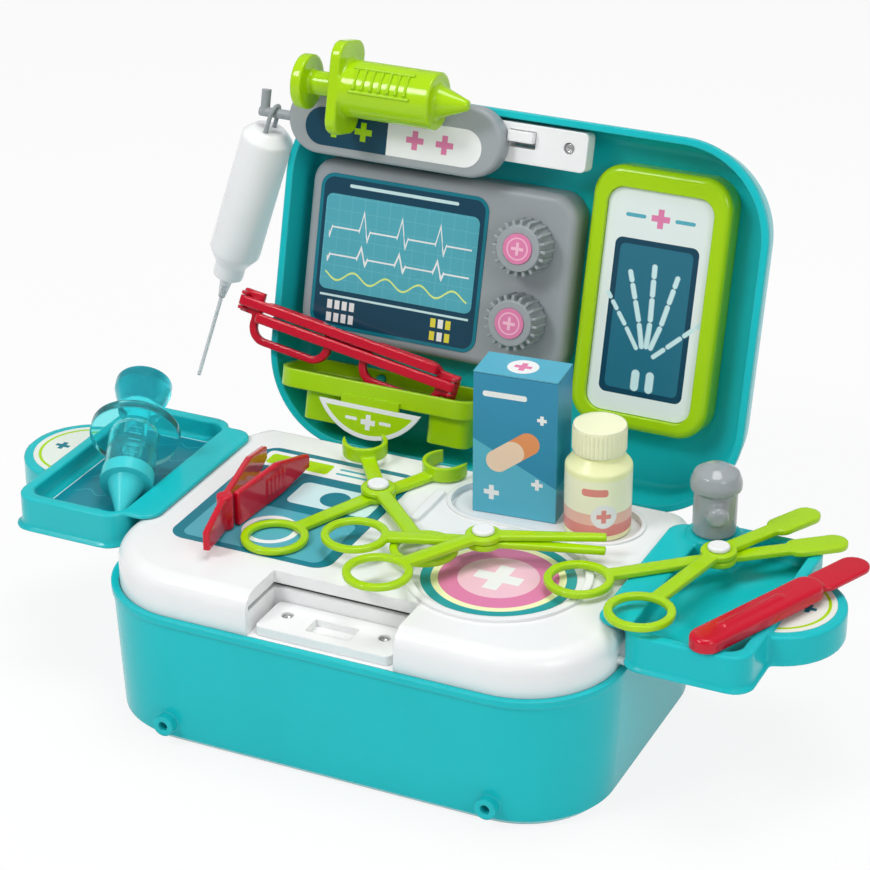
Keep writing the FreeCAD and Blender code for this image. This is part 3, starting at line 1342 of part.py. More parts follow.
tap_cap.turned([(0, cap_seat - size.tap_neck + size.fit_gap),
                (size.tap_neck / 2, cap_seat - size.tap_neck + size.fit_gap),
                (size.tap_neck / 2, cap_seat), (size.tap_cap_radius, cap_seat),
                (size.tap_cap_radius, cap_seat + size.tap_cap_edge),
                (size.tap_cap_shoulder_radius, cap_seat + size.tap_cap_shoulder),
                (size.tap_cap_crown_radius, cap_seat + size.tap_cap_crown),
                (0, cap_seat + size.tap_cap_height)])

# Red play scalpel lying across the right tray: a stout rounded handle and a round-tipped blade.
tray_surface = size.deck_top + size.tray_lip + size.fit_gap
scalpel = Piece("scalpel", shift(size.scalpel_x, size.scalpel_y, tray_surface),
                turn((0, 0, 1), size.scalpel_turn))
scalpel.bar((0, size.scalpel_half), (0, size.scalpel_handle), size.scalpel_half, 0, size.scalpel_thickness)
scalpel.fillet(size.scalpel_round, at_height(size.scalpel_thickness.value))
blade_start = size.scalpel_handle + size.scalpel_neck
blade_end = size.scalpel_handle + size.scalpel_blade - size.scalpel_blade_half
blade_rows = (size.scalpel_blade_lift, size.scalpel_blade_thickness)
scalpel.block(-size.scalpel_neck_half, size.scalpel_neck_half, size.scalpel_handle, blade_start, *blade_rows)
scalpel.bar((0, blade_start), (0, blade_end), size.scalpel_blade_half, *blade_rows)
scalpel.bar((0, size.scalpel_grip_margin), (0, size.scalpel_handle - size.scalpel_grip_margin),
            size.scalpel_grip_half, size.scalpel_thickness, size.scalpel_grip_height)

# Tweezers standing on edge: a fixed arm with the tail and knuckle, and an arm that springs on it.
grip = Piece("tweezers_left_arm", shift(size.tweezers_x, size.tweezers_y, deck_surface + size.fit_gap),
             turn((0, 0, 1), size.tweezers_turn))
half = size.tweezers_thickness / 2
high = size.tweezers_height
tip_low = size.tweezers_tip_lift
tip_high = tip_low + size.tweezers_tip_height
blade_side = [(0, 0), (size.tweezers_straight, 0), (size.tweezers_arm, tip_low),
              (size.tweezers_arm, tip_high), (size.tweezers_straight, high), (0, high)]
tail_side = [(-size.tweezers_tail, tip_low), (0, 0), (0, high), (-size.tweezers_tail, high - tip_low)]
grip.prism(blade_side, -half, size.tweezers_thickness, plane="YZ_Plane")
grip.prism(tail_side, -half, size.tweezers_thickness, plane="YZ_Plane")
grip.disc(0, 0, size.tweezers_knuckle, 0, high)
spring = Piece("tweezers_right_arm", shift(size.tweezers_x, size.tweezers_y, deck_surface + size.fit_gap),
               turn((0, 0, 1), size.tweezers_turn - size.tweezers_spread))
root = size.tweezers_knuckle + size.fit_gap
spring_side = [(root, 0), *blade_side[1:5], (root, high)]
arm_inside = half + size.fit_gap
spring.prism(spring_side, arm_inside, size.tweezers_thickness, plane="YZ_Plane")
rib_root = arm_inside + size.tweezers_thickness
for number in range(SIZES["tweezers_rib_count"]):
    start = size.tweezers_rib_start + number * size.tweezers_rib_pitch
    spring.block(rib_root - half, rib_root + size.tweezers_rib_proud, start,
                 start + size.tweezers_rib_pitch / 2,
                 size.tweezers_rib_low, size.tweezers_rib_height)

# Pivoted play instruments: two flat arms crossing on a rivet, each with a finger ring at its tail.
thick = size.tool_thickness
upper = thick + size.fit_gap
stack = upper + thick


def polar_point(radius, angle):
    return (radius * cosine(angle), radius * sine(angle))


def crossing_arm(name, frame, low, handle, reach):
    """One arm's ring, shank and pivot boss; the rivet is a push fit in the lower arm."""
    arm = Piece(name, frame)
    ring = polar_point(reach, handle)
    shank = polar_point(reach - size.ring_radius + size.ring_width / 2, handle)
    arm.disc(0, 0, size.pivot_radius, low, thick)
    arm.bar((0, 0), shank, size.tool_half, low, thick)
    arm.disc(*ring, size.ring_radius, low, thick)
    arm.disc(*ring, size.ring_radius - size.ring_width, low, thick, cut=True)
    return arm


def pivot_hole(arm, low, gap):
    arm.disc(0, 0, size.rivet_radius + gap, low, thick, cut=True)


def rivet(name, frame):
    pin = Piece(name, frame)
    pin.disc(0, 0, size.rivet_radius, 0, stack + size.fit_gap)
    pin.disc(0, 0, size.rivet_head, stack + size.fit_gap, size.rivet_head_height)
    pin.fillet(size.rivet_head_height / 2, at_height((stack + size.fit_gap + size.rivet_head_height).value))


tool_rows = ((0, size.pin_gap, "first"), (upper, size.running_gap, "second"))

# Clamp with cupped jaws.
CLAMP = shift(size.clamp_x, size.clamp_y, deck_surface + size.fit_gap)
clamp_angles = {"first": (size.clamp_first_handle, size.clamp_first_jaw),
                "second": (size.clamp_second_handle, size.clamp_second_jaw)}
for low, gap, row in tool_rows:
    handle, jaw = clamp_angles[row]
    clamp = crossing_arm(f"clamp_{row}_arm", CLAMP, low, handle, size.clamp_reach)
    cup = polar_point(size.clamp_jaw_reach + size.clamp_jaw_radius, jaw)
    jaw_root = polar_point(size.clamp_jaw_reach + size.clamp_jaw_wall, jaw)
    clamp.bar((0, 0), jaw_root, size.tool_half, low, thick)
    clamp.disc(*cup, size.clamp_jaw_radius, low, size.clamp_jaw_height)
    clamp.disc(*cup, size.clamp_jaw_radius - size.clamp_jaw_wall, low, size.clamp_jaw_height, cut=True)
    mouth = polar_point(size.clamp_jaw_reach + size.clamp_jaw_radius * 3, jaw)
    clamp.bar(cup, mouth, size.clamp_mouth_half, low, size.clamp_jaw_height, cut=True)
    pivot_hole(clamp, low, gap)
rivet("clamp_rivet", CLAMP)

# Scissors laid on the clamp's handles.
SCISSORS = shift(size.scissors_x, size.scissors_y, deck_surface + size.fit_gap * 2 + stack)
scissors_angles = {"first": (size.scissors_first_handle, size.scissors_first_blade),
                   "second": (size.scissors_second_handle, size.scissors_second_blade)}
for low, gap, row in tool_rows:
    handle, blade = scissors_angles[row]
    scissors = crossing_arm(f"scissors_{row}_arm", SCISSORS, low, handle, size.scissors_reach)
    edge = 1 if row == "first" else -1
    side = polar_point(size.tool_half, blade + edge * 90)
    near = polar_point(size.scissors_tip, blade + edge * 90)
    tip = polar_point(size.scissors_blade, blade)
    wide = [(side[0], side[1]), (-side[0], -side[1]), (tip[0] - near[0], tip[1] - near[1]),
            (tip[0] + side[0], tip[1] + side[1])]
    scissors.prism(wide, low, thick)
    pivot_hole(scissors, low, gap)
rivet("scissors_rivet", SCISSORS)

# Forceps lying from the dish's ring to the right tray.
FORCEPS = shift(size.forceps_x, size.forceps_y, tray_surface)
forceps_angles = {"first": (size.forceps_first_handle, size.forceps_first_blade),
                  "second": (size.forceps_second_handle, size.forceps_second_blade)}
for low, gap, row in tool_rows:
    handle, blade = forceps_angles[row]
    forceps = crossing_arm(f"forceps_{row}_arm", FORCEPS, low, handle, size.forceps_reach)
    forceps.bar((0, 0), polar_point(size.forceps_blade, blade), size.tool_half, low, thick)
    paddle = size.forceps_blade + size.forceps_paddle
    forceps.bar(polar_point(size.forceps_blade, blade), polar_point(paddle, blade), size.forceps_paddle_half,
                low, thick)
    pivot_hole(forceps, low, gap)
rivet("forceps_rivet", FORCEPS)

# Folded card carton standing in the recess.
CARTON = " * ".join([shift(size.carton_x, size.carton_y, recess_surface + size.fit_gap),
                     turn((0, 0, 1), size.carton_turn)])
carton = Piece("carton", CARTON)
wide, deep, fold = size.carton_width / 2, size.carton_depth / 2, size.carton_wall
carton.block(-wide, wide, -deep, deep, 0, size.carton_height)
carton.block(fold - wide, wide - fold, fold - deep, deep - fold, fold, size.carton_height - fold, cut=True)
carton_flap = Piece("carton_flap", CARTON)
flap_top = size.carton_height + size.fit_gap
carton_flap.block(-wide, wide, -deep, deep, flap_top, fold)
tuck_front = fold + size.flap_inset - deep
carton_flap.block(fold * 2 - wide, wide - fold * 2, tuck_front, tuck_front + fold,
                  flap_top - size.flap_length, size.flap_length)

# Pill bottle with a lift-off cap.
BOTTLE = shift(size.bottle_x, size.bottle_y, recess_surface + size.fit_gap)
bottle = Piece("bottle", BOTTLE)
shoulder = size.bottle_body + size.bottle_shoulder
mouth = shoulder + size.bottle_neck_height
thin = size.bottle_wall
bottle.turned([(0, 0), (size.bottle_radius, 0), (size.bottle_radius, size.bottle_body),
               (size.bottle_neck, shoulder), (size.bottle_neck, mouth), (size.bottle_neck - thin, mouth),
               (size.bottle_neck - thin, shoulder - thin),
               (size.bottle_radius - thin, size.bottle_body - thin),
               (size.bottle_radius - thin, size.bottle_floor), (0, size.bottle_floor)])
bottle_cap = Piece("bottle_cap", BOTTLE)
cap_low = shoulder + size.fit_gap
cap_top = cap_low + size.cap_height
bottle_cap.turned([(size.bottle_neck + size.running_gap, cap_low), (size.cap_radius, cap_low),
                   (size.cap_radius, cap_top), (0, cap_top), (0, mouth + size.fit_gap),
                   (size.bottle_neck + size.running_gap, mouth + size.fit_gap)])

# Every feature is recomputed and every solid checked before the pieces are written.
doc.recompute()
for item in doc.Objects:
    if "Invalid" in item.State or "Error" in item.State:
        raise RuntimeError(f"{item.Name} ({item.Label}) has not been computed: {item.State}")
os.makedirs("parts", exist_ok=True)
for piece in subparts:
    if piece.Shape.isNull() or not piece.Shape.isValid() or not piece.Shape.Solids:
        raise RuntimeError(f"{piece.Label} has no sound solid")
    piece.Shape.exportStep(f"parts/{piece.Label}.step")
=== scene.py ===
import bmesh
import bpy
import json
import math
from mathutils import Matrix, Vector

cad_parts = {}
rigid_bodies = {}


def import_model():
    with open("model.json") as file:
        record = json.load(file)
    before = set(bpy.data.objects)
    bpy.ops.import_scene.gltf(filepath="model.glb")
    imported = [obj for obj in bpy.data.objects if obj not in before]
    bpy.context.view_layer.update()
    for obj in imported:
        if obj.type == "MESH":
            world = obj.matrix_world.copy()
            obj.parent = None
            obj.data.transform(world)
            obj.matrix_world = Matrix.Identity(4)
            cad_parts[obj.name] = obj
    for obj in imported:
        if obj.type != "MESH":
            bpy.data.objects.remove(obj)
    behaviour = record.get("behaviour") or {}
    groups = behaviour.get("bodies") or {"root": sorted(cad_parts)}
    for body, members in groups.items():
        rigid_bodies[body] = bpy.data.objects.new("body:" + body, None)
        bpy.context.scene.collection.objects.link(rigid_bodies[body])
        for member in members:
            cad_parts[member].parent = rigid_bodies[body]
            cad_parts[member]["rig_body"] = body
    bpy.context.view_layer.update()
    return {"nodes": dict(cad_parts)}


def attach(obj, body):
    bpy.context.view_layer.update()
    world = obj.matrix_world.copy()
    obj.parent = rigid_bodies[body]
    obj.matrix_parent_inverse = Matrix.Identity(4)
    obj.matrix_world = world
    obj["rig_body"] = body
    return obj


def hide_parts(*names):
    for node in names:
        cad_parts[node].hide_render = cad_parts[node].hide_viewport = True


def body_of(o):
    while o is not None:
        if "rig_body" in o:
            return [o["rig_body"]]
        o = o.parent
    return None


# Toy doctor case, standing open on a pale studio floor and seen from above its right front corner.
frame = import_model()


# Tub, the lower half of the case: one deep turquoise moulding with a proud rim, a ledge inside for the
# deck, hinge lugs at the back and two bored studs on the front for a shoulder strap.
class Value:
    """A shader socket that takes part in sums, so that a pattern is written as plain arithmetic."""

    def __init__(self, tree, socket):
        self.tree = tree
        self.socket = socket

    @staticmethod
    def node(tree, kind, settings, sockets):
        made = tree.nodes.new(kind)
        for name, setting in settings.items():
            setattr(made, name, setting)
        for name, entry in sockets.items():
            if isinstance(entry, Value):
                tree.links.new(entry.socket, made.inputs[name])
            else:
                made.inputs[name].default_value = entry
        return made

    def math(self, operation, first, second=0.0, third=0.0):
        sockets = {0: first, 1: second, 2: third}
        made = Value.node(self.tree, "ShaderNodeMath", {"operation": operation}, sockets)
        return Value(self.tree, made.outputs[0])

    def __add__(self, other):
        return self.math("ADD", self, other)

    def __radd__(self, other):
        return self.math("ADD", other, self)

    def __sub__(self, other):
        return self.math("SUBTRACT", self, other)

    def __rsub__(self, other):
        return self.math("SUBTRACT", other, self)

    def __mul__(self, other):
        return self.math("MULTIPLY", self, other)

    def __rmul__(self, other):
        return self.math("MULTIPLY", other, self)

    def __truediv__(self, other):
        return self.math("DIVIDE", self, other)

    def __abs__(self):
        return self.math("ABSOLUTE", self)

    def above(self, other):
        return self.math("MAXIMUM", self, other)

    def below(self, other):
        return self.math("MINIMUM", self, other)

    def between(self, low, high):
        return self.above(low).below(high)

    def wave(self):
        return self.math("SINE", self)

    def within(self, other):
        """The distance to a point this far across and that far up."""
        squares = self * self + other * other
        return squares.math("SQRT", squares)

    def repeat(self, period):
        """The place within a repeat, counted from the middle of it."""
        return self.math("WRAP", self, period / 2, -period / 2)

    def filled(self, softness=0.12):
        """1 inside a shape, where its signed distance is negative, with a fine soft edge."""
        return (0.5 - self * (1 / softness)).between(0.0, 1.0)

    def tint(self, ground, colour):
        """A colour over a ground colour, by as much as this value says."""
        sockets = {0: self, 6: ground, 7: colour}
        mix = Value.node(self.tree, "ShaderNodeMix", {"data_type": "RGBA"}, sockets)
        return Value(self.tree, mix.outputs[2])


def moulded(name, colour, roughness=0.22, coat=0.1, edge=0.0012, grain=0.03, shine=0.3):
    """Injection-moulded plastic: softened edges lightened by a painted highlight, flow marks and a fine skin.
    """
    material = bpy.data.materials.new(name)
    material.use_nodes = True
    tree = material.node_tree
    shader = tree.nodes["Principled BSDF"]
    place = Value(tree, Value.node(tree, "ShaderNodeTexCoord", {}, {}).outputs["Object"])
    flow = Value.node(tree, "ShaderNodeTexNoise", {}, {"Vector": place, "Scale": 22.0, "Detail": 3.0})
    skin = Value.node(tree, "ShaderNodeTexNoise", {}, {"Vector": place, "Scale": 900.0, "Detail": 2.0})
    soft = Value.node(tree, "ShaderNodeBevel", {"samples": 6}, {"Radius": edge})
    flat = Value.node(tree, "ShaderNodeNewGeometry", {}, {})
    facing = Value.node(tree, "ShaderNodeVectorMath", {"operation": "DOT_PRODUCT"},
                        {0: Value(tree, soft.outputs[0]), 1: Value(tree, flat.outputs["Normal"])})
    # Painted highlight: the colour is lightened along the softened edges, where the bevelled normal turns
    # away from the true normal, so the rims look as if they catch the light.
    painted_edge_highlight = ((1.0 - Value(tree, facing.outputs["Value"])) * 3.0).between(0.0, 0.5)
    dark = [0.93 * part for part in colour] + [1]
    light = [min(1.0, 1.05 * part) for part in colour] + [1]
    edge_highlight_colour = [min(1.0, 1.2 * part + 0.05) for part in colour] + [1]
    edged = painted_edge_highlight.tint(Value(tree, flow.outputs[0]).tint(dark, light), edge_highlight_colour)
    tree.links.new(edged.socket, shader.inputs["Base Color"])
    gloss = Value(tree, flow.outputs[0]) * 0.1 + (roughness - 0.05)
    tree.links.new(gloss.socket, shader.inputs["Roughness"])
    bump = Value.node(tree, "ShaderNodeBump", {}, {"Strength": grain, "Distance": 0.0003,
                      "Height": Value(tree, skin.outputs[0]), "Normal": Value(tree, soft.outputs[0])})
    tree.links.new(bump.outputs[0], shader.inputs["Normal"])
    shader.inputs["Coat Weight"].default_value = coat
    shader.inputs["Coat Roughness"].default_value = 0.08
    shader.inputs["Specular IOR Level"].default_value = shine
    return material


def dress(material, *names):
    """One finish for whole pieces."""
    for name in names:
        mesh = frame["nodes"][name].data
        mesh.materials.clear()
        mesh.materials.append(material)


turquoise = (0.010, 0.52, 0.56)
case_plastic = moulded("turquoise_plastic", turquoise, 0.2, coat=0.0, edge=0.0016, shine=0.18)
dress(case_plastic, "base_shell")

# Deck, the white play surface: a shallow moulding that drops into the tub's mouth, with a round dish,
# a round-ended recess for the carton and bottle, and pegs at each side that the trays hang on.
white = (0.87, 0.88, 0.885)
deck_plastic = moulded("white_plastic", white, 0.2)
dress(deck_plastic, "deck", "recess_label")


# Deck sticker: a dark laminated sheet with plain tiles, lying in front of the recess.
# The design is generic: tiles, a plus and a ring in the toy's own colours.
class Print:
    """Coloured layers on a piece, placed in millimetres across (u), up (v) and out of (w) its face."""

    def __init__(self, name, ground, origin, across, up, roughness=0.26, edge=0.0004):
        self.material = moulded(name, ground, roughness, edge=edge, grain=0.0)
        self.tree = self.material.node_tree
        self.shader = self.tree.nodes["Principled BSDF"]
        self.colour = Value(self.tree, self.shader.inputs["Base Color"].links[0].from_socket)
        place = Value(self.tree, Value.node(self.tree, "ShaderNodeTexCoord", {}, {}).outputs["Object"])
        away = Value.node(self.tree, "ShaderNodeVectorMath", {"operation": "SUBTRACT"}, {0: place, 1: origin})
        self.u, self.v, self.w = (self.measure(away, way) for way in (across, up, across.cross(up)))

    def measure(self, away, way):
        sockets = {0: Value(self.tree, away.outputs[0]), 1: way}
        dot = Value.node(self.tree, "ShaderNodeVectorMath", {"operation": "DOT_PRODUCT"}, sockets)
        return Value(self.tree, dot.outputs["Value"]) * 1000.0

    def lay(self, colour, shape, softness=0.12):
        self.colour = shape.filled(softness).tint(self.colour, [*colour, 1])
        self.tree.links.new(self.colour.socket, self.shader.inputs["Base Color"])

    def disc(self, x, y, radius):
        return (self.u - x).within(self.v - y) - radius

    def panel(self, left, right, low, high, corner=0.0):
        across = abs(self.u - (left + right) / 2) - ((right - left) / 2 - corner)
        up = abs(self.v - (low + high) / 2) - ((high - low) / 2 - corner)
        return across.above(0.0).within(up.above(0.0)) + across.above(up).below(0.0) - corner

    def stroke(self, start, end, radius):
        run_x, run_y = end[0] - start[0], end[1] - start[1]
        over_x, over_y = self.u - start[0], self.v - start[1]
        along = ((over_x * run_x + over_y * run_y) / (run_x ** 2 + run_y ** 2)).between(0.0, 1.0)
        return (over_x - along * run_x).within(over_y - along * run_y) - radius

    def plus(self, x, y, reach, half):
        level = self.panel(x - reach, x + reach, y - half, y + half)
        return level.below(self.panel(x - half, x + half, y - reach, y + reach))


rightward = Vector((1, 0, 0))
backward = Vector((0, 1, 0))
upward = Vector((0, 0, 1))
tub_middle = Vector((0, 0, 0))
ink_teal = (0.006, 0.20, 0.27)
ink_sky = (0.09, 0.42, 0.52)
ink_pale = (0.62, 0.84, 0.86)
lime = (0.40, 0.68, 0.002)
mustard = (0.78, 0.66, 0.04)
sheet = Print("deck_print", ink_teal, tub_middle, rightward, backward)
dress(sheet.material, "deck_label")
sheet.lay(white, sheet.panel(-103, -22, 34, 51, 3))
sheet.lay(lime, sheet.panel(-100, -64, 37, 48, 2))
sheet.lay(ink_sky, sheet.panel(-60, -25, 39.5, 41.5, 0.9).below(sheet.panel(-60, -36, 44.5, 46.5, 0.9)))
sheet.lay(mustard, sheet.panel(-101, -77, 2, 26, 4))
sheet.lay(ink_pale, sheet.panel(-70, -24, 2, 26, 4))
sheet.lay(ink_sky, sheet.panel(-101, -24, -50, -6, 5))
sheet.lay(white, sheet.plus(-89, 14, 8, 2.6))
sheet.lay(ink_teal, sheet.disc(-47, 14, 8))
sheet.lay(white, abs(sheet.disc(-62, -28, 13)) - 1.6)

# Dish sticker: a round laminated label in the dish, with plain rings round a plus.
pink = (0.76, 0.22, 0.42)
pale_pink = (0.90, 0.55, 0.66)
cream = (0.93, 0.95, 0.54)
dish_teal = (0.02, 0.34, 0.36)
dish_x = 60
dish_y = -23
rings = Print("dish_print", dish_teal, tub_middle, rightward, backward)
dress(rings.material, "dish_label")
rings.lay(cream, rings.disc(dish_x, dish_y, 33))
rings.lay(pink, rings.disc(dish_x, dish_y, 29.5))
rings.lay(pale_pink, rings.disc(dish_x, dish_y, 20))
rings.lay(white, rings.plus(dish_x, dish_y, 12, 3.8))

# Front latch block: a white moulding screwed down in the deck's notch, with the slot that the lid's
# tongue snaps into. Its two socket screws are plated steel, and so are the case's hinge pins.
steel = moulded("plated_steel", (0.55, 0.55, 0.56), 0.28, coat=0.0)
steel.node_tree.nodes["Principled BSDF"].inputs["Metallic"].default_value = 1.0
dress(deck_plastic, "base_latch_block")
dress(steel, "base_latch_screws", "hinge_pins")

# Lid: a shallow pan of the tub's outline in the same turquoise, hinged on the tub and leaning back,
# with a second white latch block screwed in its top edge and a sprung tongue in that block's window.
lean = math.radians(14)
lid_up = Vector((0, math.sin(lean), math.cos(lean)))
lid_out = Vector((0, -math.cos(lean), math.sin(lean)))
lid_edge = Vector((0, 0.1005, 0.072)) + 0.0035 * lid_up
dress(case_plastic, "lid_shell")
dress(deck_plastic, "lid_latch_block", "latch_tongue")
dress(steel, "lid_latch_screws")

# Monitor: a satin grey housing on the lid's floor with a printed screen, and two ribbed knobs that turn
# on snap-in stems. The screen's traces, grid and mock keys are generic.
grey = (0.34, 0.37, 0.39)
grey_plastic = moulded("grey_plastic", grey, 0.36, coat=0.0)
dress(grey_plastic, "monitor_housing", "knob_upper", "knob_lower")
screen = Print("monitor_print", ink_teal, lid_edge, rightward, lid_up)
dress(screen.material, "monitor_label")
ink_navy = (0.004, 0.055, 0.10)
ruling_blue = (0.16, 0.52, 0.60)
trace_green = (0.75, 0.90, 0.25)
key_yellow = (0.80, 0.72, 0.06)
screen.lay(ink_navy, screen.panel(-115, -20.5, 65, 145, 6))
glass = screen.panel(-113, -23, 84, 136, 4)
square = 7.5
ruling = (abs(screen.u.repeat(square)) - 0.12).below(abs(screen.v.repeat(square)) - 0.12)
screen.lay(ink_sky, glass)
screen.lay(ruling_blue, glass.above(ruling))
window = screen.panel(-110, -26, 86, 134, 3)
beat = screen.u.repeat(22.5)
steep = (abs(beat - 1.0) - 3.4).filled(0.4)
for rise, height in ((118, 10), (103, 6)):
    spike = (height - abs(beat) * (height / 2)).above(0.0)
    dip = (height / 2 - abs(beat - 3.0) * (height * 0.4)).above(0.0)
    apart = abs(screen.v - rise - spike + dip) * (1.0 - steep * 0.7)
    screen.lay(white, window.above(apart - 0.45))
swell = (screen.u * 0.32).wave() * 2.6
screen.lay(trace_green, window.above(abs(screen.v - 92.0 - swell) * 0.75 - 0.4))
screen.lay(ink_pale, screen.panel(-112, -24, 80.2, 81.4))
keys = (abs(screen.u.repeat(4.4)) - 1.5).above(abs((screen.v - 69.0).repeat(7.0)) - 2.4)
for left, right, colour in ((-107.8, -90.2, white), (-46.2, -33.0, key_yellow), (-41.8, -37.4, white)):
    screen.lay(colour, screen.panel(left, right, 65.5, 79.5).above(keys))
screen.lay(ink_pale, screen.panel(-100, -36, 140.4, 142.2, 0.8))

# Knob caps: pink discs pressed into the knobs' faces, each printed with a pale ring round a plus.
knob_x = 5.5
rose = (0.90, 0.50, 0.64)
for name, rise in (("knob_upper_cap", 125.75), ("knob_lower_cap", 86.25)):
    cap = Print(name + "_print", pink, lid_edge, rightward, lid_up)
    dress(cap.material, name)
    cap.lay(rose, abs(cap.disc(knob_x, rise, 5.6)) - 0.35)
    cap.lay(rose, cap.plus(knob_x, rise, 3.4, 0.8))

# Picture panel: a lime frame on the lid's right, holding a printed card under its lip.
# The card is a mock film of an open hand, drawn as plain rounded bones on a dark field.
lime_plastic = moulded("lime_plastic", lime, 0.15, coat=0.2, edge=0.0015)
dress(lime_plastic, "xray_frame")
card_white = (0.80, 0.88, 0.86)
film_blue = (0.02, 0.16, 0.24)
film = Print("card_print", card_white, lid_edge, rightward, lid_up, 0.3)
dress(film.material, "xray_card")
film.lay(ink_navy, film.panel(51, 97, 56, 138, 4))
film.lay(film_blue, film.panel(54, 94, 59, 135, 3))
wrist = Vector((74, 74))
fingers = [((62, 92), 126, 9, 0.85), ((69, 95), 107, 12, 1), ((75, 96), 92, 13, 1.05),
           ((81, 95), 77, 12, 1), ((85, 84), 42, 11, 0.9)]
bones = film.stroke((70.5, 61), (70.5, 68), 2.2).below(film.stroke((78.5, 61), (78.5, 68), 2.2))
for knuckle, angle, step, share in fingers:
    way = Vector((math.cos(math.radians(angle)), math.sin(math.radians(angle))))
    joints = [wrist + (Vector(knuckle) - wrist) * 0.35, Vector(knuckle)]
    for part in (1.0, 0.75, 0.6):
        joints.append(joints[-1] + way * step * part)
    for low, high in zip(joints, joints[1:]):
        gap = (high - low).normalized() * 1.5
        bones = bones.below(film.stroke(low + gap, high - gap, 1.35 * share))
film.lay(ink_pale, bones, 0.5)
film.lay(pink, film.plus(74, 150, 5.0, 1.6))
film.lay(ink_sky, film.panel(55, 66, 149, 151, 0.9).below(film.panel(82, 93, 149, 151, 0.9)))

# Shelf: a lime tray with two cups that drops over pegs on the lid's floor.
# A white-edged lime badge is clipped on its front and carries a plus between two bars.
dress(lime_plastic, "shelf")
badge_x = -66.5
badge = Print("badge_print", white, lid_edge, rightward, lid_up)
dress(badge.material, "shelf_badge")
badge.lay(lime, badge.disc(badge_x, 45, 31.6).above(badge.v - 26.6))
badge.lay(lime, 29.1 - badge.v)
badge.lay(white, badge.plus(badge_x, 20.5, 4.2, 1.4))
badge.lay(white, badge.panel(-80, -73, 20.4, 22.2, 0.8).below(badge.panel(-60, -53, 20.4, 22.2, 0.8)))

# Play spectacles: a glossy red front with open lens rings and two temples folded behind it on steel pins.
red = (0.60, 0.001, 0.022)
red_plastic = moulded("red_plastic", red, 0.13, coat=0.2, edge=0.0017)


def rolled(material, slot, step, passes, *names):
    """Mouldings with their corners rolled over, each in place of its own hard-edged solid."""
    for name in names:
        solid = frame["nodes"][name]
        skin = bmesh.new()
        skin.from_mesh(solid.data)
        bmesh.ops.remove_doubles(skin, verts=skin.verts, dist=0.00001)
        mesh = bpy.data.meshes.new(name)
        skin.to_mesh(mesh)
        skin.free()
        mesh.transform(solid.matrix_world)
        piece = bpy.data.objects.new(name + "_moulding", mesh)
        bpy.context.scene.collection.objects.link(piece)
        even = piece.modifiers.new("Even skin", "REMESH")
        even.mode = "VOXEL"
        even.voxel_size = step
        even.use_smooth_shade = True
        roll = piece.modifiers.new("Rolled corners", "SMOOTH")
        roll.factor = 0.5
        roll.iterations = passes
        thin = piece.modifiers.new("Fewer faces", "DECIMATE")
        thin.ratio = 0.35
        made = bpy.data.meshes.new_from_object(piece.evaluated_get(bpy.context.evaluated_depsgraph_get()))
        piece.modifiers.clear()
        made.materials.clear()
        made.materials.append(material)
        piece.data = made
        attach(piece, body_of(solid)[0])
        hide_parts(name)


rolled(red_plastic, "red_plastic", 0.0005, 9, "glasses_front", "glasses_temple_left", "glasses_temple_right")
dress(steel, "glasses_hinge_pins")

# Sign bar: a grey pill clipped over the lid's top edge, with a printed pill-shaped label.
# The label has a dark end and a row of plus signs in place of words.
dress(grey_plastic, "sign_bar")
sign = Print("sign_print", white, lid_edge, rightward, lid_up)
dress(sign.material, "sign_label")
sign.lay(ink_navy, sign.u + 74.0)
sign_rise = 173
sign.lay(lime, sign.plus(-105, sign_rise, 5, 1.6).below(sign.plus(-88, sign_rise, 5, 1.6)))
sign.lay(pink, sign.plus(-58, sign_rise, 5, 1.6).below(sign.plus(-41, sign_rise, 5, 1.6)))

# Drip bottle: a white blow-moulded bottle that hangs by a grey wire loop from the hook arm, which is
# plugged into the sign bar's end. Its nozzle and the fine tube under it are clear plastic.
dress(grey_plastic, "iv_arm", "iv_loop")
drip_white = (0.88, 0.89, 0.90)
drip_plastic = moulded("drip_white_plastic", drip_white, 0.24)
rolled(drip_plastic, "white_plastic", 0.0007, 14, "iv_bottle")


def clear_plastic(name, colour, through, roughness=0.08):
    """Clear styrene: light passes through it, tinted, and its skin stays glossy."""
    material = moulded(name, colour, roughness, coat=0.2, grain=0.0)
    shader = material.node_tree.nodes["Principled BSDF"]
    shader.inputs["Transmission Weight"].default_value = through
    shader.inputs["IOR"].default_value = 1.25
    return material


drip_clear = (0.80, 0.83, 0.85)
dress(clear_plastic("clear_drip_plastic", drip_clear, 0.45), "iv_nozzle", "iv_needle")

# Lime syringe: an opaque toy syringe lying in the sign bar's cradle, with a sliding plunger.
# Raised finger ribs run in a row along its barrel between two rails, on the side that faces the player.
rolled(lime_plastic, "lime_plastic", 0.0006, 9, "lime_syringe_barrel", "lime_syringe_plunger")


def rod(name, low, high, radius, sides=8):
    """A many-sided bar between two points, ready to be repeated."""
    way = (high - low).normalized()
    side = way.orthogonal().normalized()
    other = way.cross(side)
    angles = [math.tau * corner / sides for corner in range(sides)]
    around = [radius * (math.cos(angle) * side + math.sin(angle) * other) for angle in angles]
    points = [end + spoke for end in (low, high) for spoke in around]
    walls = [(i, (i + 1) % sides, sides + (i + 1) % sides, sides + i) for i in range(sides)]
    ends = [tuple(range(sides - 1, -1, -1)), tuple(range(sides, 2 * sides))]
    mesh = bpy.data.meshes.new(name)
    mesh.from_pydata(points, [], walls + ends)
    made = bpy.data.objects.new(name, mesh)
    bpy.context.scene.collection.objects.link(made)
    return made


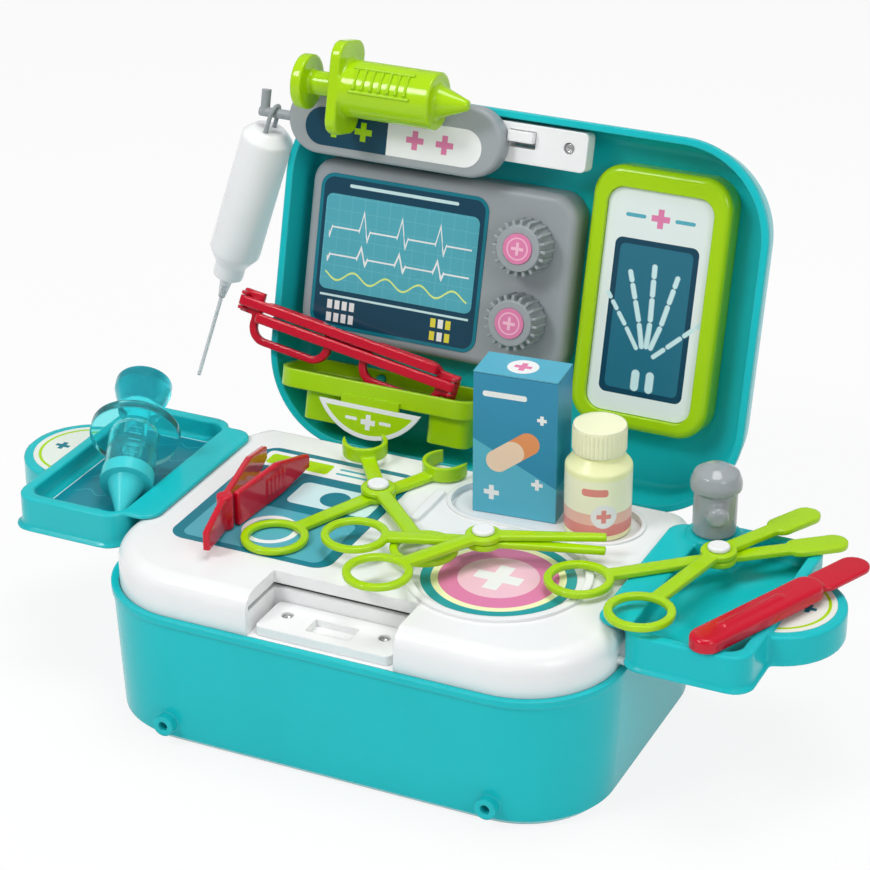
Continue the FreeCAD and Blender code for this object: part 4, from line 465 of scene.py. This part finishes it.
def row_of(name, piece, count, step, turn, finish, place, body):
    """Copies of a small piece, each moved and turned on from the last, as one mesh on a body."""
    tree = bpy.data.node_groups.new(name, "GeometryNodeTree")
    tree.interface.new_socket("Row", in_out="OUTPUT", socket_type="NodeSocketGeometry")
    sizes = {"Piece": ("NodeSocketObject", piece), "Count": ("NodeSocketInt", count),
             "Step": ("NodeSocketVector", step), "Turn": ("NodeSocketVector", turn),
             "Finish": ("NodeSocketMaterial", finish)}
    entries = {label: tree.interface.new_socket(label, in_out="INPUT", socket_type=kind)
               for label, (kind, value) in sizes.items()}
    start = tree.nodes.new("NodeGroupInput")
    given = {label: Value(tree, start.outputs[label]) for label in sizes}
    line = Value.node(tree, "GeometryNodeMeshLine", {}, {"Count": given["Count"], "Offset": given["Step"]})
    source = Value.node(tree, "GeometryNodeObjectInfo", {}, {"Object": given["Piece"]})
    number = Value(tree, tree.nodes.new("GeometryNodeInputIndex").outputs[0])
    angle = Value.node(tree, "ShaderNodeVectorMath", {"operation": "SCALE"},
                       {0: given["Turn"], "Scale": number})
    copies = Value.node(tree, "GeometryNodeInstanceOnPoints", {},
                        {"Points": Value(tree, line.outputs[0]), "Rotation": Value(tree, angle.outputs[0]),
                         "Instance": Value(tree, source.outputs["Geometry"])})
    joined = Value.node(tree, "GeometryNodeRealizeInstances", {}, {0: Value(tree, copies.outputs[0])})
    coloured = Value.node(tree, "GeometryNodeSetMaterial", {},
                          {0: Value(tree, joined.outputs[0]), "Material": given["Finish"]})
    Value.node(tree, "NodeGroupOutput", {}, {0: Value(tree, coloured.outputs[0])})
    row = bpy.data.objects.new(name, bpy.data.meshes.new(name))
    bpy.context.scene.collection.objects.link(row)
    modifier = row.modifiers.new("Row", "NODES")
    modifier.node_group = tree
    for label, (kind, value) in sizes.items():
        modifier[entries[label].identifier] = value
    made = bpy.data.meshes.new_from_object(row.evaluated_get(bpy.context.evaluated_depsgraph_get()))
    row.modifiers.clear()
    made.transform(Matrix.Translation(place))
    row.data = made
    bpy.data.objects.remove(piece)
    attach(row, body)


still = (0.0, 0.0, 0.0)
lime_axis = lid_edge + 0.197 * lid_up + 0.0253 * lid_out
rib_out = (lid_out * 0.9 + lid_up * 0.43).normalized()
rib_side = rightward.cross(rib_out)
rib_half = 0.0055 * rib_side
rib_pitch = 0.0048 * rightward
rib_start = lime_axis + 0.0150 * rib_out - 0.082 * rightward
row_of("syringe_barrel_ribs", rod("barrel_rib", -rib_half, rib_half, 0.0008), 7, rib_pitch, still,
       lime_plastic, rib_start, "lime_syringe")
rail_half = 0.0172 * rightward
rail_apart = 0.0132 * rib_side
rail_start = lime_axis + 0.0136 * rib_out - 0.0066 * rib_side - 0.0676 * rightward
row_of("syringe_barrel_rails", rod("barrel_rail", -rail_half, rail_half, 0.0009), 2, rail_apart, still,
       lime_plastic, rail_start, "lime_syringe")

# Side trays: turquoise basins that lap the deck's edge and hang on its pegs, each with a round tab
# and a pale sticker. The left basin's floor carries a dark printed sheet like water in a sink.
tray_floor = Vector((0, 0, 0.085))
deep_water = (0.008, 0.24, 0.31)
pale_water = (0.03, 0.36, 0.43)
sticker_white = (0.80, 0.86, 0.78)
rolled(case_plastic, "turquoise_plastic", 0.0008, 6, "right_tray")
water = Print("left_tray_plastic", turquoise, tray_floor, rightward, backward, 0.2, 0.0016)
rolled(water.material, "turquoise_plastic", 0.0008, 6, "left_tray")
on_floor = abs(water.w) - 0.8
pool = water.panel(-187, -141, -44, 59, 6)
water.lay(deep_water, pool.above(on_floor))
ripple = abs(water.v.repeat(17) - (water.u * 0.42).wave() * 2.2) - 0.5
water.lay(pale_water, water.panel(-182, -146, -38, 53, 5).above(ripple).above(on_floor), 0.3)
water.lay(ink_pale, (abs(pool) - 0.35).above(on_floor))
tab = Print("tray_print", sticker_white, tub_middle, rightward, backward)
dress(tab.material, "left_tray_sticker", "right_tray_sticker")
for side in (-1, 1):
    tab.lay(lime, abs(tab.disc(side * 190, 9, 25.5)) - 0.8)
    tab.lay(ink_teal, tab.plus(side * 206, 9, 4, 1.3))

# Clear syringe in the left tray: a see-through teal barrel with a wide finger flange, so that the
# plunger shows inside, a solid teal tip with a collar in its end, and moulded measure marks along it.
tip_teal = (0.05, 0.62, 0.67)
barrel_teal = (0.28, 0.94, 0.99)
plunger_teal = (0.10, 0.88, 0.95)
teal_tip_plastic = moulded("teal_tip_plastic", tip_teal, 0.24)
dress(teal_tip_plastic, "teal_syringe_tip")
dress(clear_plastic("clear_barrel_plastic", barrel_teal, 0.94, 0.04), "teal_syringe_barrel")
dress(clear_plastic("clear_plunger_plastic", plunger_teal, 0.9), "teal_syringe_plunger")
teal_yaw = math.radians(21)
teal_slope = math.radians(22)
teal_way = Vector((-math.sin(teal_yaw) * math.cos(teal_slope), math.cos(teal_yaw) * math.cos(teal_slope),
                   math.sin(teal_slope)))
teal_tip = Vector((-0.142, -0.040, 0.0884))
toward_player = Vector((0.45, -0.5, 0.9))
mark_out = (toward_player - teal_way * teal_way.dot(toward_player)).normalized()
mark_half = 0.0032 * teal_way.cross(mark_out)
mark_pitch = 0.0042 * teal_way
mark_start = teal_tip + 0.033 * teal_way + 0.0131 * mark_out
row_of("syringe_measure_marks", rod("measure_mark", -mark_half, mark_half, 0.00035), 6, mark_pitch, still,
       teal_tip_plastic, mark_start, "teal_syringe")
collar_start = teal_tip + 0.0215 * teal_way
collar = rod("collar", 0 * teal_way, 0.0075 * teal_way, 0.0138, 48)
row_of("syringe_tip_collar", collar, 1, still, still, teal_tip_plastic, collar_start, "teal_syringe")

# Tap: a grey post with a short rounded spout that swivels on the right tray's boss, under a domed cap.
tap_plastic = moulded("tap_grey_plastic", grey, 0.14, coat=0.3, edge=0.0015)
rolled(tap_plastic, "grey_plastic", 0.0006, 12, "faucet_post", "faucet_cap")

# Scalpel and tweezers: glossy red play instruments. The scalpel has a stout handle and a round-tipped
# blade, and the tweezers stand on edge with one springing arm.
rolled(red_plastic, "red_plastic", 0.0005, 6, "scalpel", "tweezers_left_arm", "tweezers_right_arm")

# Clamp, scissors and forceps: flat lime arms in pairs, crossing on white snap-in rivets.
rolled(lime_plastic, "lime_plastic", 0.0005, 9, "clamp_first_arm", "clamp_second_arm",
       "scissors_first_arm", "scissors_second_arm", "forceps_first_arm", "forceps_second_arm")
dress(deck_plastic, "clamp_rivet", "scissors_rivet", "forceps_rivet")

# Carton: a folded card box with a tuck flap, standing turned a little in the deck's recess.
# Its print is a capsule over two blues with small plus signs.
carton_turn = math.radians(5)
carton_foot = Vector((0.040, 0.051, 0.0911))
carton_across = Vector((math.cos(carton_turn), math.sin(carton_turn), 0))
carton_back = Vector((-math.sin(carton_turn), math.cos(carton_turn), 0))
box_blue = (0.03, 0.27, 0.46)
box_sky = (0.10, 0.46, 0.62)
flap_sky = (0.10, 0.44, 0.60)
capsule_orange = (0.80, 0.30, 0.12)
capsule_pale = (0.88, 0.66, 0.50)
card = Print("carton_print", box_blue, carton_foot, carton_across, upward, 0.4)
dress(card.material, "carton")
card.lay(box_sky, card.v + card.u * 0.5 - 30.0)
card.lay(capsule_orange, card.stroke((-9, 30), (7, 42), 6))
card.lay(capsule_pale, card.stroke((-9, 30), (-1, 36), 6))
small_plus = card.plus(-12, 12, 4, 1.3).below(card.plus(12, 20, 3, 1.0)).below(card.plus(14, 56, 2.5, 0.9))
card.lay(white, small_plus)
card.lay(white, card.panel(-17, 6, 65, 68, 1.2))
flap = Print("carton_flap_print", flap_sky, carton_foot, carton_across, carton_back, 0.4)
dress(flap.material, "carton_flap")
flap.lay(white, flap.disc(0, 0, 8))
flap.lay(pink, flap.plus(0, 0, 4.5, 1.5))

# Pill bottle: a pale cream bottle with a printed wrap and a cap whose side is ridged all round for grip.
bottle_foot = Vector((0.083, 0.0475, 0.0911))
bottle_face = Vector((0.907, 0.421, 0))
coral = (0.80, 0.28, 0.25)
pale_coral = (0.88, 0.52, 0.42)
wrap_cream = (0.94, 0.95, 0.70)
cap_cream = (0.95, 0.95, 0.66)
wrap = Print("bottle_print", cream, bottle_foot, bottle_face, upward, 0.34)
rolled(wrap.material, "yellow_plastic", 0.0006, 12, "bottle")
wrap.lay(wrap_cream, wrap.panel(-40, 40, 3, 33))
wrap.lay(pale_coral, wrap.panel(-40, 40, 3, 15))
wrap.lay(coral, wrap.panel(-40, 40, 3, 9))
wrap.lay(coral, wrap.panel(-9, 4, 25, 29, 1.4))
wrap.lay(white, wrap.disc(2, 14, 6.5))
wrap.lay(coral, wrap.plus(2, 14, 3.6, 1.2))
cap_plastic = moulded("cream_plastic", cap_cream, 0.32)
dress(cap_plastic, "bottle_cap")
cap_foot = Vector((0.083, 0.0475, 0.1344))
ridge_count = 40
ridge = rod("cap_ridge", Vector((0.0132, 0, 0.001)), Vector((0.0132, 0, 0.0125)), 0.0005)
row_of("bottle_cap_ridges", ridge, ridge_count, still, (0, 0, math.tau / ridge_count), cap_plastic, cap_foot,
       "bottle_cap")

# Studio: a sheet of white paper under the toy, an even white surround and three soft lamps.
scene = bpy.context.scene
reach = 6.0
floor_mesh = bpy.data.meshes.new("floor")
floor_mesh.from_pydata([(-reach, -reach, 0), (reach, -reach, 0), (reach, reach, 0), (-reach, reach, 0)], [],
                       [(0, 1, 2, 3)])
floor = bpy.data.objects.new("floor", floor_mesh)
scene.collection.objects.link(floor)


def seen_directly(tree):
    """1 for rays that show the surround itself, straight or through gloss and glass."""
    rays = Value.node(tree, "ShaderNodeLightPath", {}, {}).outputs
    straight = Value(tree, rays["Is Camera Ray"])
    return straight.above(Value(tree, rays["Is Glossy Ray"])).above(Value(tree, rays["Is Transmission Ray"]))


paper = bpy.data.materials.new("floor_paper")
paper.use_nodes = True
sheet_tree = paper.node_tree
matt = sheet_tree.nodes["Principled BSDF"]
matt.inputs["Base Color"].default_value = (0.9, 0.9, 0.9, 1)
matt.inputs["Roughness"].default_value = 0.9
glow = Value.node(sheet_tree, "ShaderNodeEmission", {}, {"Color": (1, 1, 1, 1)})
glow_share = seen_directly(sheet_tree) * 0.86
bright = Value.node(sheet_tree, "ShaderNodeMixShader", {},
                    {0: glow_share, 1: Value(sheet_tree, matt.outputs[0]),
                     2: Value(sheet_tree, glow.outputs[0])})
sheet_tree.links.new(bright.outputs[0], sheet_tree.nodes["Material Output"].inputs["Surface"])
floor_mesh.materials.append(paper)
world = bpy.data.worlds.new("studio")
world.use_nodes = True
scene.world = world
surround = world.node_tree.nodes["Background"]
surround.inputs["Color"].default_value = (1, 1, 1, 1)
level = Value.node(world.node_tree, "ShaderNodeLightPath", {}, {}).outputs["Is Camera Ray"]
strength = Value(world.node_tree, level) * 0.6 + 0.4
world.node_tree.links.new(strength.socket, surround.inputs["Strength"])
lamps = [("key", (-0.9, -1.3, 1.7), 0.7, 18), ("fill", (1.5, -0.9, 1.1), 0.9, 8),
         ("top", (0.1, 0.2, 2.0), 0.9, 14)]
lamp_target = Vector((0, 0, 0.1))
for name, place, width, power in lamps:
    light = bpy.data.lights.new(name, "AREA")
    light.shape = "DISK"
    light.size = width
    light.energy = power
    lamp = bpy.data.objects.new(name, light)
    scene.collection.objects.link(lamp)
    aim = lamp_target - Vector(place)
    lamp.matrix_world = Matrix.Translation(place) @ aim.to_track_quat("-Z", "Y").to_matrix().to_4x4()

# Camera, at the height and side from which the toy is shown.
azimuth = math.radians(24.88)
elevation = math.radians(26.17)
target = Vector((0.01539, 0, 0.14923))
distance = 1.3358
eye = Vector((math.sin(azimuth) * math.cos(elevation), -math.cos(azimuth) * math.cos(elevation),
              math.sin(elevation)))
lens = bpy.data.cameras.new("camera")
lens.lens = 113.4
lens.sensor_width = 36
camera = bpy.data.objects.new("camera", lens)
scene.collection.objects.link(camera)
look = (-eye).to_track_quat("-Z", "Y").to_matrix().to_4x4()
camera.matrix_world = Matrix.Translation(target + distance * eye) @ look
scene.camera = camera
scene.view_settings.view_transform = "Standard"
